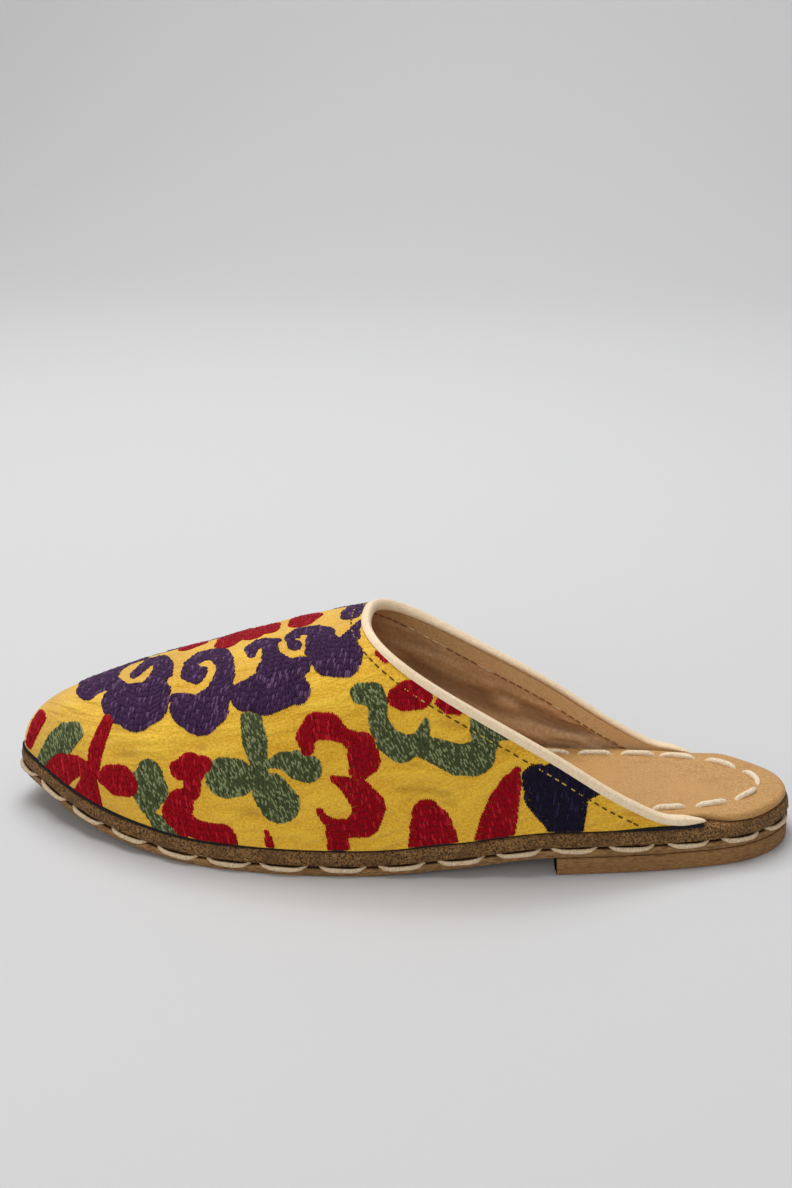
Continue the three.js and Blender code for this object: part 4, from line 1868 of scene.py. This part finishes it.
PURPLE_LATERAL = Motif(Thread.PURPLE, Side.LATERAL, (
    fill((239.5, 38.5, 4.6), (238, 45, 7), (235.5, 52, 7.4), (231.5, 60, 4.6), (227.5, 66, 3.6),
         (223, 71.5, 2.8)),
    fill((233, 48, 5), (226, 45.5, 4.5), (219, 46, 4.5)),
    fill((225, 37.5, 6.6), (219, 39.5, 9), (213.5, 42.5, 7.6)),
    fill((211.5, 46, 6.2), (211, 55, 4.7), (211.8, 63, 4.2), (214.5, 68.5, 3.8), (218.2, 67, 3)),
    bare((220.5, 68.8, 0.9), (224.4, 64.5, 2), (226.2, 58.5, 2.2), (226, 53, 2.5), (223, 50.3, 2),
         (219, 51.5, 1.7), (216.8, 55, 1.7), (216.3, 59.5, 1.4), (216.2, 62.8, 0.5)),
    fill((217.8, 67, 2.8), (219.6, 61, 2.6), (221.3, 55, 2.1), (221.8, 53, 1.2)),
    fill((200.5, 57.5, 3), (200, 64, 3.4), (197, 70.5, 4.2), (192.5, 71.5, 4.4), (188.8, 66, 3.6),
         (187.5, 58, 4), (188.5, 50, 5)),
    fill((199, 57.5, 3.6), (196.6, 57.5, 4.2), (195.5, 61, 1.6)),
    fill((203, 46, 2.6), (198.5, 43.5, 6.6), (194.5, 43.3, 8), (190.5, 45, 6.4)),
    bare((205.5, 53.5, 2.6), (201.5, 51.3, 2.2), (197, 50.8, 1.7), (193.6, 53.8, 1.6), (192.2, 58, 1.5),
         (192.4, 62, 1.6), (194.8, 65.2, 1.5), (197, 63.8, 1)),
    fill((178.8, 68, 1.6), (179.6, 72.5, 2.8), (177, 76.2, 3.2), (172.8, 75, 3.6), (170.8, 69, 4.4),
         (170, 62, 5)),
    fill((178.5, 50.5, 5.6), (172.5, 52, 7.8), (165.5, 54.5, 7), (162, 53, 4.8)),
    fill((172, 61, 4.2), (166, 62, 5), (161.5, 62, 4)),
    fill((165.8, 74.5, 2.6), (166, 79, 2.6), (163.5, 82, 3.2), (159, 81.5, 3.6), (155.5, 78, 4.2)),
    fill((165.5, 76, 2.6), (164.3, 72.5, 3.4), (163, 71.5, 2.6)),
    bare((164.2, 75.8, 0.6), (161.6, 75.2, 1.5), (160.2, 71.5, 1.4), (161, 68, 1.8), (164.5, 67, 1.7),
         (167.8, 69.5, 1.6), (169, 74, 1.6)),
    fill((156, 75, 5), (154, 69, 6.5), (150, 66, 8.2), (147, 65, 6.2)),
    fill((152.5, 62.5, 4.4), (146.5, 62.3, 4.8)),
    fill((145.5, 74, 3.2), (144.6, 78.5, 1.6), (142.6, 84.5, 0.8)),
    fill((147.2, 89.5, 3.4), (146.6, 94, 4.2), (146.2, 99, 3.6)),
))
RED_LATERAL = Motif(Thread.RED, Side.LATERAL, (
    fill((256.6, 17, 2.4), (259, 11, 2.2), (261.8, 3.5, 1.5)),
    fill((227.6, 31, 2), (229.6, 25, 2.3), (231.8, 18, 2.6), (232.4, 13, 2.4)),
    fill((229, 11, 2.4), (224.5, 12, 5), (220.5, 13.4, 5.2)),
    fill((233, 12, 1.8), (238.5, 10.5, 3.2), (244, 6.5, 4.6), (248, 1.5, 4.8), (250, -2, 4.4)),
    fill((233, 11, 2), (234, 7, 3.6), (235, 2, 5.6), (235.5, -3, 6)),
    bare((243, -1, 1.3), (240.6, 3, 0.9), (238.4, 6.4, 0.4)),
    fill((200.5, 23, 3.2), (196, 24.8, 4.9), (191.8, 26.6, 2.8)),
    fill((196, 21, 3.4), (195.8, 17, 2.8)),
    fill((196.8, 16.5, 2.4), (200, 12, 4.6), (201.5, 7.5, 5), (199.5, 4, 3.6)),
    fill((199, 6, 4), (194.5, 4, 3.6), (189.5, 3.4, 3.8), (185.8, 3, 4.4), (184.5, -1, 4)),
    fill((171.2, 6, 0.7), (170.4, 3, 1.4), (169.8, -1, 1.8)),
    fill((157.6, 34.5, 2.2), (158.2, 38.5, 3.2), (155, 42, 4.3), (151, 42, 4.4), (147.5, 40, 3)),
    fill((144.5, 38.5, 2.8), (140.5, 36, 4.6), (139.6, 31, 5.1), (141, 28, 3.4)),
    fill((149.3, 25.1, 1.2), (146, 23.8, 2.3), (141.2, 20.6, 4.4), (137.8, 15.5, 5.2), (139.5, 10, 5),
         (144.5, 8.2, 3.4), (149.5, 9.2, 2.4), (152.6, 12, 1.2), (153.8, 14.2, 1.1)),
    fill((149, 8.5, 3), (148.2, 4, 3.4), (147.6, -1, 3.6)),
    fill((120.2, 12.4, 4.4), (118.6, 7.5, 6.6), (117.6, 1, 8), (117.6, -3, 8.2)),
    fill((91.6, 22.8, 1.3), (93.4, 18.5, 3.6), (95.4, 13, 5), (97, 6.5, 6), (98.2, 0, 6.4), (98.4, -3, 6.4)),
    fill((129, 51, 3.6), (126.5, 51.2, 4.9), (122.5, 50.5, 4.2)),
    fill((116, 48, 1.6), (113, 46, 2.1), (110, 44.4, 1.2)),
    fill((136, 66, 1.1), (133.6, 63, 0.9)),
    fill((190.5, 79.5, 4.4), (189, 86, 6), (187, 92, 6)),
    fill((181.5, 84.5, 4.4), (180, 91, 5)),
    fill((175.5, 87.5, 3.6), (175.5, 93, 3.4)),
    fill((164.5, 90.8, 4.8), (163.5, 96, 6)),
    fill((206.5, 79.5, 3), (203, 86, 4.4)),
))
GREEN_LATERAL = Motif(Thread.GREEN, Side.LATERAL, (
    fill((239.5, 22, 2.6), (243.5, 18, 4), (248.5, 11, 4), (253, 4, 3), (256, -1, 2.4)),
    fill((210.5, 19.2, 4.6), (210.8, 15, 6.4), (212, 10.5, 4.8), (212.8, 7, 2.2)),
    fill((211, 5, 1.8), (207.5, 2.5, 3.4), (204, -1.5, 3.8)),
    fill((176.3, 42.5, 3.6), (174.8, 36, 4.2), (173.6, 30, 3.1), (172.6, 26, 2.4)),
    fill((184.6, 23, 6.6), (181, 23.6, 6.2), (177, 25, 3), (173, 26, 2.8)),
    fill((170, 29, 1.4), (165.5, 30.4, 2.9), (160.5, 29.2, 4.8), (157.5, 28.2, 4.6)),
    fill((172.5, 23.5, 2.8), (169.5, 20, 6.2), (166.8, 16.2, 6.8)),
    fill((141, 52.6, 3.4), (137.4, 52.2, 3.9), (135.4, 49, 2.9)),
    fill((135.6, 50, 3), (135.4, 44, 3), (133, 38.2, 3.9), (127.5, 34.2, 4.4), (122, 35.8, 3.4),
         (120.3, 42.6, 0.9)),
    fill((121.5, 34.6, 3.4), (116, 32, 4.1), (110, 28.8, 5), (104.5, 28.8, 6), (101.6, 33, 4),
         (103.8, 38.5, 2.8), (105.4, 41, 1.2)),
    fill((101, 36, 2.2), (97.5, 34.8, 1.4), (93.8, 33.9, 0.6)),
))
NAVY_LATERAL = Motif(Thread.NAVY, Side.LATERAL, (
    fill((85.5, 19.5, 4.8), (81.5, 14, 7.6), (77, 9, 8.2), (75.5, 2, 6), (75.5, -3, 5.6)),
    fill((80, 20, 4.4), (74, 16.5, 4), (68, 14.5, 2.4)),
    fill((78, 17.5, 5), (72, 14, 4.4), (66.5, 14, 1.6)),
))
PURPLE_MEDIAL = Motif(Thread.PURPLE, Side.MEDIAL, (
    fill((188, 42, 17)),
    bare((174, 49, 1.8), (180, 54.5, 1.8), (188, 55.5, 1.9), (195.5, 51, 1.9), (198.5, 42.5, 1.9),
         (195, 34.5, 1.8), (188, 32, 1.7), (181.5, 36, 1.6), (180.5, 43, 1.5), (184.5, 47.5, 1.4),
         (190, 46, 1.2), (191, 41.5, 0.9)),
    fill((206, 46, 5.4), (211, 49, 4.2)),
    fill((170, 33, 5.4), (164.5, 30.5, 4)),
    fill((152, 62, 6.6), (146.5, 67, 4.8)),
    bare((149, 63.5, 1.1), (153.5, 65.5, 1)),
))
GREEN_MEDIAL = Motif(Thread.GREEN, Side.MEDIAL, (
    fill((226, 40, 1.2), (231, 35, 3.6), (236, 29, 4), (239, 24, 1.8)),
    fill((223, 38, 1.2), (221.5, 31, 3.4), (220.5, 24, 4.2), (221.5, 18, 2)),
    fill((227, 43, 1), (234, 41, 2.2), (241, 36, 1.8)),
    fill((227, 41.5, 1.4), (217, 45.5, 1.5), (210, 47, 1.6)),
    fill((161, 22, 1.6), (166, 18, 4.2), (171, 14.5, 3.6)),
    fill((139, 50, 3.2), (135.5, 44, 2.8), (131, 38, 3.4), (125, 35.5, 3.4), (120.5, 41, 1.1)),
    fill((121, 35.5, 2.8), (113, 31, 3.8), (105, 28.5, 4.8), (102, 34, 3.2), (105, 39.5, 1.4)),
))
RED_MEDIAL = Motif(Thread.RED, Side.MEDIAL, (
    fill((98, 20, 1.4), (99, 13, 4.4), (100.5, 4, 5.6), (101, -2, 5.8)),
    fill((120, 12, 4), (118, 5, 6.6), (117.5, -2, 7.4)),
    fill((146, 12, 4), (150, 20, 5.2), (145.5, 27, 4.4)),
    fill((141, 16, 4), (136, 23, 4.2)),
    fill((149, 9, 3), (150, -2, 3.4)),
    fill((178, 12, 3), (182, 6, 4.8), (183, -2, 5)),
    fill((206, 13, 3), (211, 8, 4.6), (213.5, -1, 4.6)),
    fill((204, 14, 3), (200, 7, 4.6), (198, -2, 4.8)),
    fill((205, 15, 1.8), (206.5, 24, 1.6), (204, 31, 1.4)),
))
NAVY_MEDIAL = Motif(Thread.NAVY, Side.MEDIAL, (
    fill((85.5, 18, 4.6), (81.5, 13, 7), (77, 8, 7.4), (75.5, 0, 5.6)),
    fill((246, 2, 3.8), (240, 8, 4.2), (234, 6, 3.6)),
    fill((126, 52, 4.2), (119, 48.5, 4.4)),
))
MOTIFS = (
    PURPLE_LATERAL, RED_LATERAL, GREEN_LATERAL, NAVY_LATERAL,
    PURPLE_MEDIAL, GREEN_MEDIAL, RED_MEDIAL, NAVY_MEDIAL,
)

# Creases of the cloth; its colour gets painted shade in their troughs and painted highlight on their ridges.
CLOTH_CREASES = (
    Crease((229, 22), (206, 31), 1.4, 0.54), Crease((226, 19), (204, 26), 1.3, -0.45),
    Crease((228, 27), (209, 35), 1.4, -0.40), Crease((252, 22), (238, 31), 1.9, 0.45),
    Crease((190, 33), (204, 27), 1.7, -0.54), Crease((189, 30), (207, 22), 1.5, 0.45),
    Crease((134, 26), (106, 21), 1.9, 0.63), Crease((132, 21), (110, 16), 1.5, -0.54),
    Crease((106, 19), (86, 27), 1.5, 0.54), Crease((132, 46), (121, 45), 1.4, 0.45),
    Crease((117, 41), (106, 38), 1.4, -0.45), Crease((168, 6), (152, 3), 1.9, 0.54),
    Crease((184, 12), (158, 9), 2.0, -0.54), Crease((58, 6), (44, 4), 1.5, -0.45),
    Crease((198, 38), (184, 44), 1.2, -0.4), Crease((203, 33), (186, 39), 1.4, 0.45),
    Crease((132, 16), (122, 4), 1.3, 0.4), Crease((128, 17), (108, 12), 1.3, -0.4),
    Crease((112, 22), (88, 31), 1.5, -0.45), Crease((130, 29), (112, 25), 1.4, -0.45),
    Crease((162, 14), (152, 20), 1.5, 0.4), Crease((166, 8), (160, 1), 1.3, -0.4),
    Crease((64, 9), (46, 5), 1.4, 0.3), Crease((216, 24), (206, 27), 1.2, 0.4),
)
# Creases of the lining; the lining's colour gets painted shade in their troughs.
LINING_FOLDS = (
    Crease((60, 3), (98, 12), 2.0, -0.5), Crease((60, 6), (112, 26), 2.6, 1.0),
    Crease((63, 3), (104, 7), 1.8, 0.9), Crease((68, 6), (104, 23), 2.2, -0.45),
    Crease((84, 8), (130, 24), 3.0, -0.5), Crease((76, 2), (92, 9), 1.5, -0.5),
    Crease((70, 8), (92, 19), 1.5, 0.7), Crease((96, 22), (134, 42), 3.4, 0.9),
    Crease((64, 5), (82, 7), 1.3, -0.45), Crease((110, 12), (150, 20), 3.5, 0.9),
    Crease((62, 8), (88, 15), 1.2, 0.6), Crease((74, 12), (100, 28), 1.8, 0.7),
)


def main() -> None:
    """Builds the shoe's pieces in order, then the stage."""
    logging.basicConfig(level=logging.INFO, format="%(message)s")
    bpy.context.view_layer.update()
    last = Last()
    chart = Chart(last)
    shop = Workshop(last)
    strands = Strands(shop)
    needle = Needle(shop)
    Sole(last, shop, strands).build()
    Footbed(last, shop, strands).build()
    embroidery = Embroidery(chart, shop, needle, MOTIFS)
    upper = Upper(chart, shop, strands, embroidery.covered, embroidery.bare, creases=CLOTH_CREASES,
                  folds=LINING_FOLDS)
    upper.build()
    Collar(chart, shop, needle, upper.relief, embroidery.covered).build()
    embroidery.build()
    Studio(shop.shift).build()


if __name__ == "__main__":
    main()
